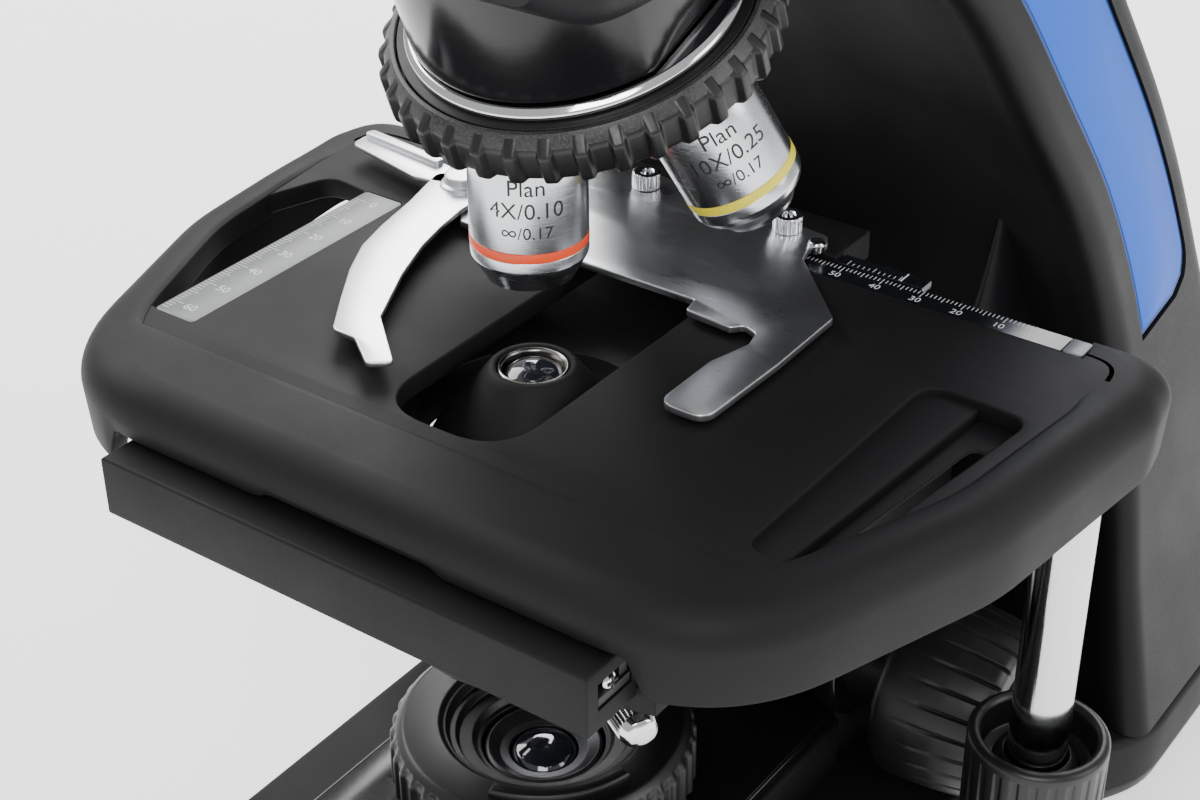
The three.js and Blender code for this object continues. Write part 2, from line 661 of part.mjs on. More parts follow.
// ---------------------------------------------------------------- nosepiece
function addNosepiece() {
  // In this group +Z points down the nosepiece axis from the apex.
  const head = new THREE.Group();
  head.position.z = APEX_Z;
  head.rotation.x = Math.PI + NOSE_TILT;
  model.add(head);

  const mountHalf = 29.5;
  const drum = common(rod(33, -10, 43.2), block([-mountHalf, -60, -60], [mountHalf, 60, 60]));
  const ceiling = new THREE.BoxGeometry(200, 200, 100);
  ceiling.rotateX(-(Math.PI + NOSE_TILT));
  const up = new THREE.Vector3(0, 0, 50 - (APEX_Z - 247.9));
  up.applyAxisAngle(new THREE.Vector3(1, 0, 0), -(Math.PI + NOSE_TILT));
  ceiling.translate(up.x, up.y, up.z);
  const hub = rod(8, 40, 52);
  add('nosepiece_mount', join(cut(drum, ceiling), hub), GLOSS_BLACK, head);

  const bright = tube(27, 34.4, 43.5, 45.6);
  add('nosepiece_bright_ring', bright, CHROME, head);

  const seat = APEX_Z - SHOULDER_Z;
  const cone = turned([
    [8.3, 46], [36.2, 46], [36.2, 56], [34, 58], [20, 68.5], [12, 70], [0, 70], [0, 52.3],
    [8.3, 52.3], [8.3, 46],
  ]);
  const seats = [];
  for (let i = 0; i < 4; i += 1) {
    seats.push(rod(14, seat, seat + 34).rotateX(NOSE_TILT).rotateZ((Math.PI / 2) * i));
    seats.push(rod(8.3, 20, seat + 34).rotateX(NOSE_TILT).rotateZ((Math.PI / 2) * i));
  }
  const shaped = cut(cone, ...seats);
  add('nosepiece_turret', shaped, DARK_METAL, head);

  const grip = cut(
    common(
      prism(fluted(40.2, 1.3, 20), 46.2, 56.4),
      turned([[0, 46], [37.3, 46], [40.4, 49.2], [40.4, 55.4], [39, 56.6], [0, 56.6]]),
    ),
    rod(36.5, 40, 60),
  );
  add('nosepiece_grip', grip, RUBBER, head);

  const objectives = {
    objective_4x: { nose: 30.2, step: 22.6, tip: 8.6 },
    objective_10x: { nose: 31.5, step: 23.4, tip: 7 },
    objective_40x: { nose: 45, step: 25, tip: 4.2 },
    objective_100x: { nose: 45.2, step: 25.5, tip: 3.6 },
  };
  Object.entries(objectives).forEach(([name, { nose, step, tip }], i) => {
    const profile = [
      [5, -3.3], [8, -3.3], [8, 0.4], [11, 0.4], [11.6, 1.4], [12.1, 6], [12.1, step],
      [11, step + 1.4], [tip + 1, nose - 0.8], [tip, nose], [tip - 1.5, nose], [5, 6], [5, -3.3],
    ];
    const geometry = turned(tip > 6.5 ? profile : longObjective(nose, step, tip));
    geometry.translate(0, 0, seat).rotateX(NOSE_TILT);
    add(name, geometry.rotateZ(Math.PI - (Math.PI / 2) * i), CHROME, head);
  });
}

/** High-power objective: a slim spring-loaded nose below the full barrel. */
function longObjective(nose, step, tip) {
  return [
    [5, -3.3], [8, -3.3], [8, 0.4], [11, 0.4], [11.6, 1.4], [12.1, 6], [12.1, step],
    [10.2, step + 2], [9, step + 8], [tip + 2, nose - 4], [tip, nose], [0, nose], [0, nose - 6],
    [5, step], [5, -3.3],
  ];
}

// ---------------------------------------------------------------- observation head
const HINGE_POINT = [0, -22, HEAD_Z + 48];

/** Turn a solid made about +Z to the eyepiece tubes' direction, at their hinge. */
function tilted(geometry) {
  return geometry.rotateX(Math.PI / 2 - TUBE_TILT).translate(...HINGE_POINT);
}

function addHead() {
  const body = cut(
    join(
      loft([
        ringAt(mirrored([[34, -34, 14], [34, 34, 14]]), HEAD_Z + 5, 32),
        ringAt(mirrored([[37, -37, 15], [37, 37, 15]]), HEAD_Z + 14, 32),
        ringAt(mirrored([[36, -30, 14], [36, 36, 14]]), HEAD_Z + 44, 32),
        ringAt(mirrored([[30, -12, 11], [30, 32, 11]]), HEAD_Z + 58, 32),
      ]),
      rod(19.8, HEAD_Z - 4, HEAD_Z + 8),
    ),
    rod(14, HEAD_Z - 10, HEAD_Z + 10),
    tilted(block([-60, -60, -GAP], [60, 60, 80])),
  );
  add('head_body', body, BLACK_PAINT);
  const screw = turned([[0, 0], [2.6, 0], [2.6, 8], [5, 8], [5, 17], [4, 18], [0, 18]]);
  alongX(screw);
  add('head_clamp_screw', screw, CHROME).position.set(40.8, 0, HEAD_Z - 6);

  // The two eyepiece arms swing about one axis through the front of the head.
  const hinge = new THREE.Group();
  hinge.position.set(...HINGE_POINT);
  hinge.rotation.x = Math.PI / 2 - TUBE_TILT;
  model.add(hinge);
  [['right', 1], ['left', -1]].forEach(([name, side]) => {
    const x = side * EYE_HALF_SPACING;
    const low = side > 0 ? 0 : 9.3;
    const arm = cut(
      join(
        rod(17, low, low + 9),
        block([Math.min(0, x), -15, low], [Math.max(0, x), 15, low + 9]),
        rod(19, 0.0, 30).translate(x, 0, 0),
        rod(16, 28, 48).translate(x, 0, 0),
      ),
      side > 0 ? rod(17.3, 9, 60) : rod(17.3, -5, 9.3),
      rod(11.9, 20, 60).translate(x, 0, 0),
    );
    add(`eyepiece_tube_${name}`, arm, BLACK_PAINT, hinge);
    const eyepiece = turned([
      [8, 26], [11.6, 26], [11.6, 53.6], [15, 53.6], [15, 60], [16.5, 62], [16.5, 78], [14.5, 78],
      [14.5, 70], [10, 68], [8, 60], [8, 26],
    ]);
    add(`eyepiece_${name}`, eyepiece, MATTE_BLACK, hinge).position.x = x;
  });
  const dioptre = tube(16.3 - 4.0, 17.5, 48.3, 53.3);
  add('diopter_ring', dioptre, RUBBER, hinge).position.x = -EYE_HALF_SPACING;
}

addBase();
addIlluminator();
addArm();
addFocus();
addStage();
addSlideHolder();
addStageDrive();
addCondenser();
addNosepiece();
addHead();

export default microscope;
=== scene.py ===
import bpy
import bmesh
import math
from mathutils import Matrix, Vector
from mathutils.geometry import tessellate_polygon


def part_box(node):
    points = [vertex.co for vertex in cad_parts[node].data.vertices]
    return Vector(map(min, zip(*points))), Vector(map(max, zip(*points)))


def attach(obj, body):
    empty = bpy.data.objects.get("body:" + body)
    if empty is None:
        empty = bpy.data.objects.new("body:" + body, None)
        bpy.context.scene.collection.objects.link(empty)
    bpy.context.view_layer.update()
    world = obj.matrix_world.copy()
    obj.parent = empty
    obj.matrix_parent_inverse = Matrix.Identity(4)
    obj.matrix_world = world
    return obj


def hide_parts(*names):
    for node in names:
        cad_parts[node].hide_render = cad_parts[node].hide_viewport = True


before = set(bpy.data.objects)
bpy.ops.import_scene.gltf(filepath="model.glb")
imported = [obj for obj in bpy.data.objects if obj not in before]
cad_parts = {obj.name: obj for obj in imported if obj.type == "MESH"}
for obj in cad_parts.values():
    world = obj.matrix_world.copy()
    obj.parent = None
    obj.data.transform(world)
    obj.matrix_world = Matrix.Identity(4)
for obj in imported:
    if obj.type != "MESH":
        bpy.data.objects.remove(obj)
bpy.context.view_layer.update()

# ------------------------------------------------------------ places taken from the frame
# Shapes below are drawn in millimetres from the optical axis, with z from the table.
lamp_low, lamp_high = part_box("led_lamp")
AXIS_X = (lamp_low.x + lamp_high.x) * 500
AXIS_Y = (lamp_low.y + lamp_high.y) * 500
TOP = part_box("y_scale")[1].z * 1000          # plane of the stage top
PLACE = Matrix.Scale(0.001, 4) @ Matrix.Translation((AXIS_X, AXIS_Y, 0))


def node_box(name):
    low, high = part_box(name)
    shift = Vector((AXIS_X, AXIS_Y, 0))
    return low * 1000 - shift, high * 1000 - shift


# ------------------------------------------------------------ materials
def shader(name, color, rough, metal=0.0, bump=0.0, grain=2500.0, vary=0.12, stretch=(1, 1, 1),
           coat=0.0, spread=0.08, edge=0.0, distance=0.00008, spec=0.5, painted_glint=0.0):
    """Principled finish with a fine real-scale grain in its tone, gloss and relief."""
    mat = bpy.data.materials.new(name)
    mat.use_nodes = True
    nodes, links = mat.node_tree.nodes, mat.node_tree.links
    out = nodes["Principled BSDF"]
    out.inputs["Metallic"].default_value = metal
    out.inputs["Coat Weight"].default_value = coat
    out.inputs["Coat Roughness"].default_value = 0.08
    out.inputs["Specular IOR Level"].default_value = spec
    place = nodes.new("ShaderNodeTexCoord")
    fit = nodes.new("ShaderNodeMapping")
    fit.inputs["Scale"].default_value = stretch
    links.new(place.outputs["Object"], fit.inputs["Vector"])
    fine = nodes.new("ShaderNodeTexNoise")
    fine.inputs["Scale"].default_value = grain
    fine.inputs["Detail"].default_value = 3
    links.new(fit.outputs["Vector"], fine.inputs["Vector"])
    broad = nodes.new("ShaderNodeTexNoise")
    broad.inputs["Scale"].default_value = 45
    broad.inputs["Detail"].default_value = 4
    links.new(place.outputs["Object"], broad.inputs["Vector"])
    both = nodes.new("ShaderNodeMath")
    both.operation = "ADD"
    links.new(fine.outputs["Fac"], both.inputs[0])
    links.new(broad.outputs["Fac"], both.inputs[1])
    tone = nodes.new("ShaderNodeValToRGB")
    low = [c * (1 - vary) for c in color]
    # The extra lift on the light end of the tone paints glints into the colour.
    high = [min(1.0, c * (1 + vary) + painted_glint) for c in color]
    tone.color_ramp.elements[0].position = 0.35
    tone.color_ramp.elements[0].color = (*low, 1)
    tone.color_ramp.elements[1].position = 0.65
    tone.color_ramp.elements[1].color = (*high, 1)
    half = nodes.new("ShaderNodeMath")
    half.operation = "MULTIPLY"
    half.inputs[1].default_value = 0.5
    links.new(both.outputs[0], half.inputs[0])
    links.new(half.outputs[0], tone.inputs["Fac"])
    links.new(tone.outputs["Color"], out.inputs["Base Color"])
    gloss = nodes.new("ShaderNodeMapRange")
    gloss.inputs["From Min"].default_value = 0.3
    gloss.inputs["From Max"].default_value = 0.7
    gloss.inputs["To Min"].default_value = max(0.02, rough - spread)
    gloss.inputs["To Max"].default_value = rough + spread
    links.new(half.outputs[0], gloss.inputs["Value"])
    links.new(gloss.outputs["Result"], out.inputs["Roughness"])
    normal = None
    if edge:
        soft = nodes.new("ShaderNodeBevel")
        soft.samples = 4
        soft.inputs["Radius"].default_value = edge
        normal = soft.outputs["Normal"]
    if bump:
        relief = nodes.new("ShaderNodeBump")
        relief.inputs["Strength"].default_value = bump
        relief.inputs["Distance"].default_value = distance
        links.new(fine.outputs["Fac"], relief.inputs["Height"])
        if normal:
            links.new(normal, relief.inputs["Normal"])
        normal = relief.outputs["Normal"]
    if normal:
        links.new(normal, out.inputs["Normal"])
    return mat


COAT = shader("charcoal coat", (0.006, 0.0061, 0.0068), 0.62, bump=0.3, grain=2600, edge=0.0005, spec=0.22)
STAGE = shader("stage coat", (0.006, 0.0061, 0.0068), 0.62, bump=0.25, grain=3200, edge=0.0005, spec=0.22)
ARM = shader("arm coat", (0.005, 0.0052, 0.0062), 0.5, bump=0.45, grain=1900, vary=0.18, spec=0.25)
GLOSS = shader("gloss black", (0.006, 0.006, 0.007), 0.16, spread=0.03, bump=0.05, grain=900)
MATTE = shader("matte black", (0.006, 0.006, 0.0065), 0.5, bump=0.2, grain=2800, edge=0.0003)
RUBBER = shader("rubber", (0.005, 0.005, 0.0055), 0.38, bump=0.2, grain=1800, edge=0.0003)
# The rough speckled tone is the chamfer's own finish. The bright lifted specks are painted glints.
SPECK_GLINT = shader("speckled chamfer painted glints", (0.018, 0.018, 0.02), 0.42, bump=0.7, grain=2400, vary=0.9, painted_glint=0.03)
BLUE = shader("blue inlay", (0.012, 0.115, 0.62), 0.5, bump=0.25, grain=2400, vary=0.05, spec=0.25)
# A darker copy of the inlay blue for the rim sunk in the groove round the panel: painted shade in the groove.
BLUE_SHADED_EDGE = shader("blue inlay edge painted shade", (0.008, 0.045, 0.22), 0.4, bump=0.2, grain=2400, vary=0.05)
CHROME = shader("polished chrome", (0.80, 0.81, 0.83), 0.10, 1, spread=0.04, bump=0.02, grain=1200, vary=0.03)
SATIN = shader("satin chrome barrel", (0.72, 0.74, 0.77), 0.24, 1, spread=0.06, bump=0.12, grain=900,
               stretch=(0.25, 0.25, 9), vary=0.08)
STEEL = shader("brushed steel", (0.72, 0.73, 0.75), 0.34, 1, spread=0.08, bump=0.12, grain=900,
               stretch=(0.35, 6, 1), vary=0.06, edge=0.0003)
RULE = shader("grey scale plate", (0.16, 0.165, 0.17), 0.42, 0.3, bump=0.12, grain=2200, vary=0.06)
BLACK_RULE = shader("black scale plate", (0.006, 0.007, 0.009), 0.2, spread=0.04, bump=0.08, grain=1800)
DARK = shader("dark metal", (0.045, 0.046, 0.05), 0.35, 0.8, bump=0.2, grain=1800)
WHITE_INK = shader("white ink", (0.72, 0.73, 0.74), 0.5, bump=0.1, grain=4000, vary=0.05)
BLACK_INK = shader("black ink", (0.012, 0.012, 0.014), 0.45, bump=0.1, grain=4000)
RED = shader("orange red band", (0.86, 0.075, 0.015), 0.35, bump=0.05, grain=3000, vary=0.04)
YELLOW = shader("yellow band", (0.82, 0.70, 0.045), 0.35, bump=0.05, grain=3000, vary=0.04)
PALE_BLUE = shader("light blue band", (0.10, 0.42, 0.72), 0.35, bump=0.05, grain=3000, vary=0.04)
PALE = shader("white band", (0.75, 0.75, 0.73), 0.4, bump=0.05, grain=3000, vary=0.04)
LAMP = shader("lamp white", (0.75, 0.75, 0.72), 0.4, bump=0.1, grain=2000)
LENS = shader("coated lens", (0.012, 0.013, 0.018), 0.03, spread=0.01, coat=1.0, vary=0.3, bump=0.0,
    grain=300)
LENS_RIM = shader("lens seat", (0.30, 0.29, 0.27), 0.18, 1, bump=0.1, grain=900, stretch=(0.3, 0.3, 6))


# ------------------------------------------------------------ mesh helpers, in millimetres
def piece(name, verts, faces, mat, body, replaces=(), slot=None, move=None, angle=32):
    place = PLACE @ move if move else PLACE
    mesh = bpy.data.meshes.new(name)
    mesh.from_pydata([place @ Vector(v) for v in verts], [], faces)
    mesh.validate()
    work = bmesh.new()
    work.from_mesh(mesh)
    bmesh.ops.remove_doubles(work, verts=work.verts, dist=1e-7)
    bmesh.ops.recalc_face_normals(work, faces=work.faces)
    work.to_mesh(mesh)
    work.free()
    mesh.polygons.foreach_set("use_smooth", [True] * len(mesh.polygons))
    mesh.set_sharp_from_angle(angle=math.radians(angle))
    mesh.materials.append(mat)
    obj = bpy.data.objects.new(name, mesh)
    bpy.context.scene.collection.objects.link(obj)
    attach(obj, body)
    if replaces:
        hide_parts(*replaces)
    return obj


def outline(corners, steps=10):
    """Closed polygon through [x, y, radius] corners, rounded the way the solids are."""
    points = []
    count = len(corners)
    for i, corner in enumerate(corners):
        here = Vector(corner[:2])
        radius = corner[2] if len(corner) > 2 else 0
        inward = (Vector(corners[i - 1][:2]) - here).normalized()
        onward = (Vector(corners[(i + 1) % count][:2]) - here).normalized()
        half = math.acos(max(-1, min(1, inward.dot(onward)))) / 2
        reach = radius / math.tan(half) if radius else 0
        if not radius:
            points.append(here)
            continue
        start, end = here + inward * reach, here + onward * reach
        for k in range(steps + 1):
            t = k / steps
            points.append(start * (1 - t) ** 2 + here * 2 * t * (1 - t) + end * t * t)
    return points


def mirrored(right, steps=10):
    left = [[-c[0], *c[1:]] for c in reversed(right)]
    return outline([*right, *left], steps)


def resample(points, count):
    ends = points[1:] + points[:1]
    lengths = [(b - a).length for a, b in zip(points, ends)]
    total = sum(lengths)
    result, i, passed = [], 0, 0.0
    for k in range(count):
        want = total * k / count
        while passed + lengths[i] < want:
            passed += lengths[i]
            i += 1
        share = (want - passed) / lengths[i] if lengths[i] else 0
        result.append(points[i].lerp(ends[i], share))
    return result


def area(points):
    return sum(a.x * b.y - b.x * a.y for a, b in zip(points, points[1:] + points[:1])) / 2


def cleaned(points):
    kept = []
    for p in points:
        if not kept or (p - kept[-1]).length > 0.02:
            kept.append(p)
    if (kept[0] - kept[-1]).length < 0.02:
        kept.pop()
    return kept


def shifted(points, amount):
    """Each point moved to the right of the walking direction, mitred."""
    result = []
    count = len(points)
    for i, p in enumerate(points):
        a = (p - points[i - 1]).normalized()
        b = (points[(i + 1) % count] - p).normalized()
        na, nb = Vector((a.y, -a.x)), Vector((b.y, -b.x))
        n = na + nb
        if n.length < 1e-6:
            n = na
        n.normalize()
        result.append(p + n * (amount / max(0.5, n.dot(na))))
    return result


def plate_mesh(loops, z0, z1, bevel=0.3, steps=2):
    """Flat plate with holes: loops[0] is the outside. Its rims are rounded by bevel."""
    fixed = []
    for i, loop in enumerate(loops):
        loop = cleaned([Vector(p[:2]) for p in loop])
        if (area(loop) > 0) != (i == 0):
            loop.reverse()
        fixed.append(loop)
    levels = []
    for k in range(steps + 1):
        turn = (math.pi / 2) * k / steps
        levels.append((-bevel * (1 - math.sin(turn)), z0 + bevel * (1 - math.cos(turn))))
    for k in range(steps + 1):
        turn = (math.pi / 2) * k / steps
        levels.append((-bevel * (1 - math.cos(turn)), z1 - bevel * (1 - math.sin(turn))))
    verts, faces = [], []
    low, high = [], []
    for loop in fixed:
        start = len(verts)
        size = len(loop)
        for offset, z in levels:
            verts += [(p.x, p.y, z) for p in shifted(loop, offset)]
        for r in range(len(levels) - 1):
            for j in range(size):
                a = start + r * size + j
                b = start + r * size + (j + 1) % size
                faces.append((a, b, b + size, a + size))
        low.append([start + j for j in range(size)])
        high.append([start + (len(levels) - 1) * size + j for j in range(size)])
    for rims in (low, high):
        flat = [[Vector(verts[i]) for i in rim] for rim in rims]
        index = [i for rim in rims for i in rim]
        for tri in tessellate_polygon(flat):
            faces.append(tuple(index[t] for t in tri))
    return verts, faces


def rounded_profile(profile, radius=0.35, steps=3):
    """Profile with its corners eased; a third number overrides the radius."""
    result = []
    count = len(profile)
    for i, point in enumerate(profile):
        here = Vector(point[:2])
        ease = point[2] if len(point) > 2 else radius
        if i in (0, count - 1) or ease <= 0:
            result.append(here)
            continue
        before, after = Vector(profile[i - 1][:2]) - here, Vector(profile[i + 1][:2]) - here
        reach = min(ease, before.length * 0.45, after.length * 0.45)
        if reach < 0.01:
            result.append(here)
            continue
        start = here + before.normalized() * reach
        end = here + after.normalized() * reach
        for k in range(steps + 1):
            t = k / steps
            result.append(start * (1 - t) ** 2 + here * 2 * t * (1 - t) + end * t * t)
    return result


def lathe_mesh(profile, sides=96, radius=0.35, wave=None):
    """Solid of revolution about Z. wave(angle, r, z) may change the radius."""
    line = rounded_profile(profile, radius)
    verts, faces, rows = [], [], []
    for p in line:
        if p.x < 1e-6:
            rows.append([len(verts)])
            verts.append((0, 0, p.y))
            continue
        row = []
        for k in range(sides):
            turn = 2 * math.pi * k / sides
            r = wave(turn, p.x, p.y) if wave else p.x
            row.append(len(verts))
            verts.append((r * math.cos(turn), r * math.sin(turn), p.y))
        rows.append(row)
    for a, b in zip(rows, rows[1:]):
        for k in range(sides):
            n = (k + 1) % sides
            if len(a) == 1 and len(b) == 1:
                continue
            if len(a) == 1:
                faces.append((a[0], b[n], b[k]))
            elif len(b) == 1:
                faces.append((a[k], a[n], b[0]))
            else:
                faces.append((a[k], a[n], b[n], b[k]))
    return verts, faces


def loft_mesh(rings, caps=True):
    size = len(rings[0])
    verts = [tuple(p) for ring in rings for p in ring]
    faces = []
    for i in range(len(rings) - 1):
        for j in range(size):
            a, b = i * size + j, i * size + (j + 1) % size
            faces.append((a, b, b + size, a + size))
    if caps:
        faces.append(tuple(range(size)))
        faces.append(tuple(range((len(rings) - 1) * size, len(rings) * size)))
    return verts, faces


def block_mesh(low, high, bevel=0.5):
    x0, y0, z0 = low
    x1, y1, z1 = high
    return plate_mesh([[(x0, y0), (x1, y0), (x1, y1), (x0, y1)]], z0, z1, bevel, 3)


def joined(*parts):
    verts, faces = [], []
    for v, f in parts:
        start = len(verts)
        verts += list(v)
        faces += [tuple(i + start for i in face) for face in f]
    return verts, faces


def moved(part, matrix):
    return [tuple(matrix @ Vector(v)) for v in part[0]], part[1]


def subtract(obj, *cutters):
    """Takes closed millimetre meshes out of a piece."""
    for i, (verts, faces) in enumerate(cutters):
        mesh = bpy.data.meshes.new("cutter")
        mesh.from_pydata([PLACE @ Vector(v) for v in verts], [], faces)
        work = bmesh.new()
        work.from_mesh(mesh)
        bmesh.ops.remove_doubles(work, verts=work.verts, dist=1e-7)
        bmesh.ops.recalc_face_normals(work, faces=work.faces)
        work.to_mesh(mesh)
        work.free()
        tool = bpy.data.objects.new("cutter", mesh)
        bpy.context.scene.collection.objects.link(tool)
        cut = obj.modifiers.new("cut", "BOOLEAN")
        cut.operation = "DIFFERENCE"
        cut.solver = "MANIFOLD"
        cut.object = tool
        bpy.context.view_layer.update()
        result = bpy.data.meshes.new_from_object(obj.evaluated_get(bpy.context.evaluated_depsgraph_get()))
        obj.modifiers.clear()
        obj.data = result
        bpy.data.objects.remove(tool)
    obj.data.polygons.foreach_set("use_smooth", [True] * len(obj.data.polygons))
    obj.data.set_sharp_from_angle(angle=math.radians(32))
    return obj


def text_mesh(words, height):
    """Flat letters centred on the origin, height measured on the capitals."""
    curve = bpy.data.curves.new("words", "FONT")
    curve.body = words
    curve.size = height / 0.69
    curve.align_x = "CENTER"
    curve.align_y = "CENTER"
    curve.resolution_u = 4
    holder = bpy.data.objects.new("words", curve)
    bpy.context.scene.collection.objects.link(holder)
    bpy.context.view_layer.update()
    mesh = bpy.data.meshes.new_from_object(holder.evaluated_get(bpy.context.evaluated_depsgraph_get()))
    verts = [tuple(v.co) for v in mesh.vertices]
    faces = [tuple(p.vertices) for p in mesh.polygons]
    bpy.data.objects.remove(holder)
    return verts, faces


def turn_x(angle):
    return Matrix.Rotation(angle, 4, "X")


def turn_y(angle):
    return Matrix.Rotation(angle, 4, "Y")


def turn_z(angle):
    return Matrix.Rotation(angle, 4, "Z")


def at(x, y, z=0.0):
    return Matrix.Translation((x, y, z))


# ------------------------------------------------------------ stage top
LEAST_LAND = 2.6                             # narrowest flat of the rim beside the recess

def smooth(a, b, x):
    t = max(0.0, min(1.0, (x - a) / (b - a)))
    return t * t * (3 - 2 * t)


def stage_line(inset, count=400):
    points = mirrored([
        [84 - inset * 0.9, -60 + inset, 40], [107 - inset, 5, 60],
        [113 - inset, 60, 16], [110 - inset, 78 - inset, 10],
    ], 14)
    return resample(points, count)


def recess_line(outer):
    """Inner edge of the rim: one point for each outer point, on a line from the middle of the stage."""
    points = mirrored([[88, -38, 9], [102, 25, 34], [100, 66, 6]], 14)
    middle = Vector((0, 12))
    result = []
    for p in outer:
        ray = p - middle
        reach = 0.0
        for a, b in zip(points, points[1:] + points[:1]):
            side = b - a
            bottom = ray.x * side.y - ray.y * side.x
            if abs(bottom) < 1e-9:
                continue
            along = ((a.x - middle.x) * side.y - (a.y - middle.y) * side.x) / bottom
            share = ((a.x - middle.x) * ray.y - (a.y - middle.y) * ray.x) / bottom
            if along > 0 and -1e-6 <= share <= 1 + 1e-6:
                reach = max(reach, along)
        result.append(middle + ray * min(reach, 1 - LEAST_LAND / ray.length))
    return result


def skirt_low(x, y):
    """Height of the skirt's lower edge: raised over the front guide bar."""
    if y > -30:
        return 140.0
    side = 1 - smooth(64, 69, abs(x))
    middle = 1 - smooth(20, 24, abs(x))
    return 140.0 + 8.6 * side + 1.6 * middle


def ring3(points, height):
    return [(p.x, p.y, height(p.x, p.y) if callable(height) else height) for p in points]


def rim_top(x, y):
    return TOP + 0.8 * (1 - smooth(30, 58, y))


rings = []
inner_wall = stage_line(4.6)
rings.append(ring3(inner_wall, TOP - 5.5))
rings.append(ring3(inner_wall, lambda x, y: skirt_low(x, y) + 0.5))
rings.append(ring3(stage_line(4.0), skirt_low))
rings.append(ring3(stage_line(1.2), skirt_low))
rings.append(ring3(stage_line(0.75), lambda x, y: skirt_low(x, y) + 0.25))
rings.append(ring3(stage_line(0.6), lambda x, y: skirt_low(x, y) + 0.8))
rings.append(ring3(stage_line(0), TOP - 8.0))
for k in range(1, 15):
    turn = (math.pi / 2) * k / 14
    inset = 8 * (1 - math.cos(turn))
    rise = math.sin(turn)
    rings.append(ring3(stage_line(inset), lambda x, y, s=rise: TOP - 8 + (rim_top(x, y) - TOP + 8) * s))
outer_edge = stage_line(8)
edge = recess_line(outer_edge)
for share, drop in ((0.9, 0.0), (1.0, 0.12), (1.04, 0.45), (1.08, 0.8), (1.09, 1.1)):
    line = []
    for a, b in zip(outer_edge, edge):
        p = a.lerp(b, min(1.0, share))
        if share > 1:
            p = b + (b - a).normalized() * (share - 1) * 12
        line.append(p)
    rings.append(ring3(line, lambda x, y, d=drop: rim_top(x, y) - d * (rim_top(x, y) - TOP + 0.05)))
rings.append([(x, y, TOP - 5.5) for x, y, z in rings[-1]])
verts, faces = loft_mesh(rings + [rings[0]], caps=False)
rim = piece("stage_top_rim", verts, faces, STAGE, "stage_top", ["stage_top_plate"], "black_paint")
subtract(
    rim,
    block_mesh((-92, 71.3, 100), (92, 100, 200), 0.01),
    block_mesh((-92, 50, 100), (92, 100, TOP - 5.4), 0.01),
    block_mesh((-42, 64.6, TOP - 0.8), (93.4, 80, 170), 0.01),
)

opening = outline([[-15.3, -32.5, 13], [17, -32.5, 13], [17, 47, 3], [-15.3, 47, 3]])
window = outline([[-86, -31, 3], [-79.6, -30, 1], [-79.6, 38.5, 2], [-92, 40, 6], [-101, 14, 40]])
pocket = outline([[71.8, -31, 4], [87, -31.5, 5], [95.5, 36.5, 5], [71.8, 38, 6]])
slot_hole = outline([[82.5, -22, 1.5], [85.5, -24, 1.5], [93, 26, 3], [88, 29, 3]])
floor_edge = [a.lerp(b, 0.55) for a, b in zip(outer_edge, edge)]
strip = outline([[-79.9, -31, 1.6], [-68.1, -31, 1.6], [-68.1, 39, 1.6], [-79.9, 39, 1.6]])
floor_plate = piece(
    "stage_top_floor", *plate_mesh([floor_edge, opening, window, pocket], TOP - 5, TOP, 0.45, 3),
    STAGE, "stage_top", slot="black_paint")
subtract(
    floor_plate,
    plate_mesh([strip], TOP - 0.62, TOP + 3, 0.01, 1),
    block_mesh((-42, 64.6, TOP - 0.6), (93.4, 80, 170), 0.01),
)
floor_low = outline([[76, -33, 2], [89, -33, 2], [98, 39, 2], [76, 39, 2]])
piece("stage_pocket_floor", *plate_mesh([floor_low, slot_hole], TOP - 5.0, TOP - 4.4, 0.2),
      STAGE, "stage_top", slot="black_paint")
step = outline([[70.5, -33, 1], [79.2, -33, 1], [84.3, 39, 1], [70.5, 39, 1]])
piece("stage_pocket_step", *plate_mesh([step], TOP - 4.9, TOP - 1.5, 0.9, 4), STAGE, "stage_top",
    slot="black_paint")

# scale plates
piece("y_scale_plate", *plate_mesh([outline([[-79.7, -30.7, 1.2], [-68.3, -30.7, 1.2], [-68.3, 38.7, 1.2],
      [-79.7, 38.7, 1.2]])], TOP - 0.5, TOP + 0.02, 0.1), RULE, "stage_top", ["y_scale"], "steel")
piece("x_scale_plate", *plate_mesh([outline([[-41.7, 64.9, 0.3], [88.3, 64.9, 0.3], [88.3, 71.2, 0.3],
      [-41.7, 71.2, 0.3]])], TOP - 0.5, TOP + 0.02, 0.1), BLACK_RULE, "stage_top", ["x_scale"], "gloss_black")
piece("x_scale_end", *plate_mesh([outline([[88.5, 64.9, 1], [93, 64.9, 1.5], [93, 71.2, 1],
    [88.5, 71.2, 0.3]])],
      TOP - 0.5, TOP + 0.1, 0.15), RULE, "stage_top", slot="steel")

marks = []
for mm in range(0, 67):
    y = 34.3 - mm
    if y < -29.5:
        break
    reach = 3.4 if mm % 10 == 0 else (2.7 if mm % 5 == 0 else 1.9)
    if mm <= 64:
        marks.append(block_mesh((-79.3, y - 0.09, TOP), (-79.3 + reach, y + 0.09, TOP + 0.05), 0.01))
for value in range(0, 70, 10):
    if 34.3 - value > -29:
        marks.append(moved(text_mesh(str(value), 2.3), at(-73.4, 33.8 - value, TOP + 0.05)))
for mm in range(0, 126):
    x = 83.3 - mm
    reach = 2.5 if mm % 10 == 0 else (2.0 if mm % 5 == 0 else 1.4)
    if mm <= 120:
        marks.append(block_mesh((x - 0.08, 71.1 - reach, TOP), (x + 0.08, 71.1, TOP + 0.05), 0.01))
for value in range(0, 125, 10):
    marks.append(moved(text_mesh(str(value), 1.9), at(83.0 - value, 67.0, TOP + 0.05)))
piece("stage_scale_marks", *joined(*marks), WHITE_INK, "stage_top", slot="steel", angle=60)

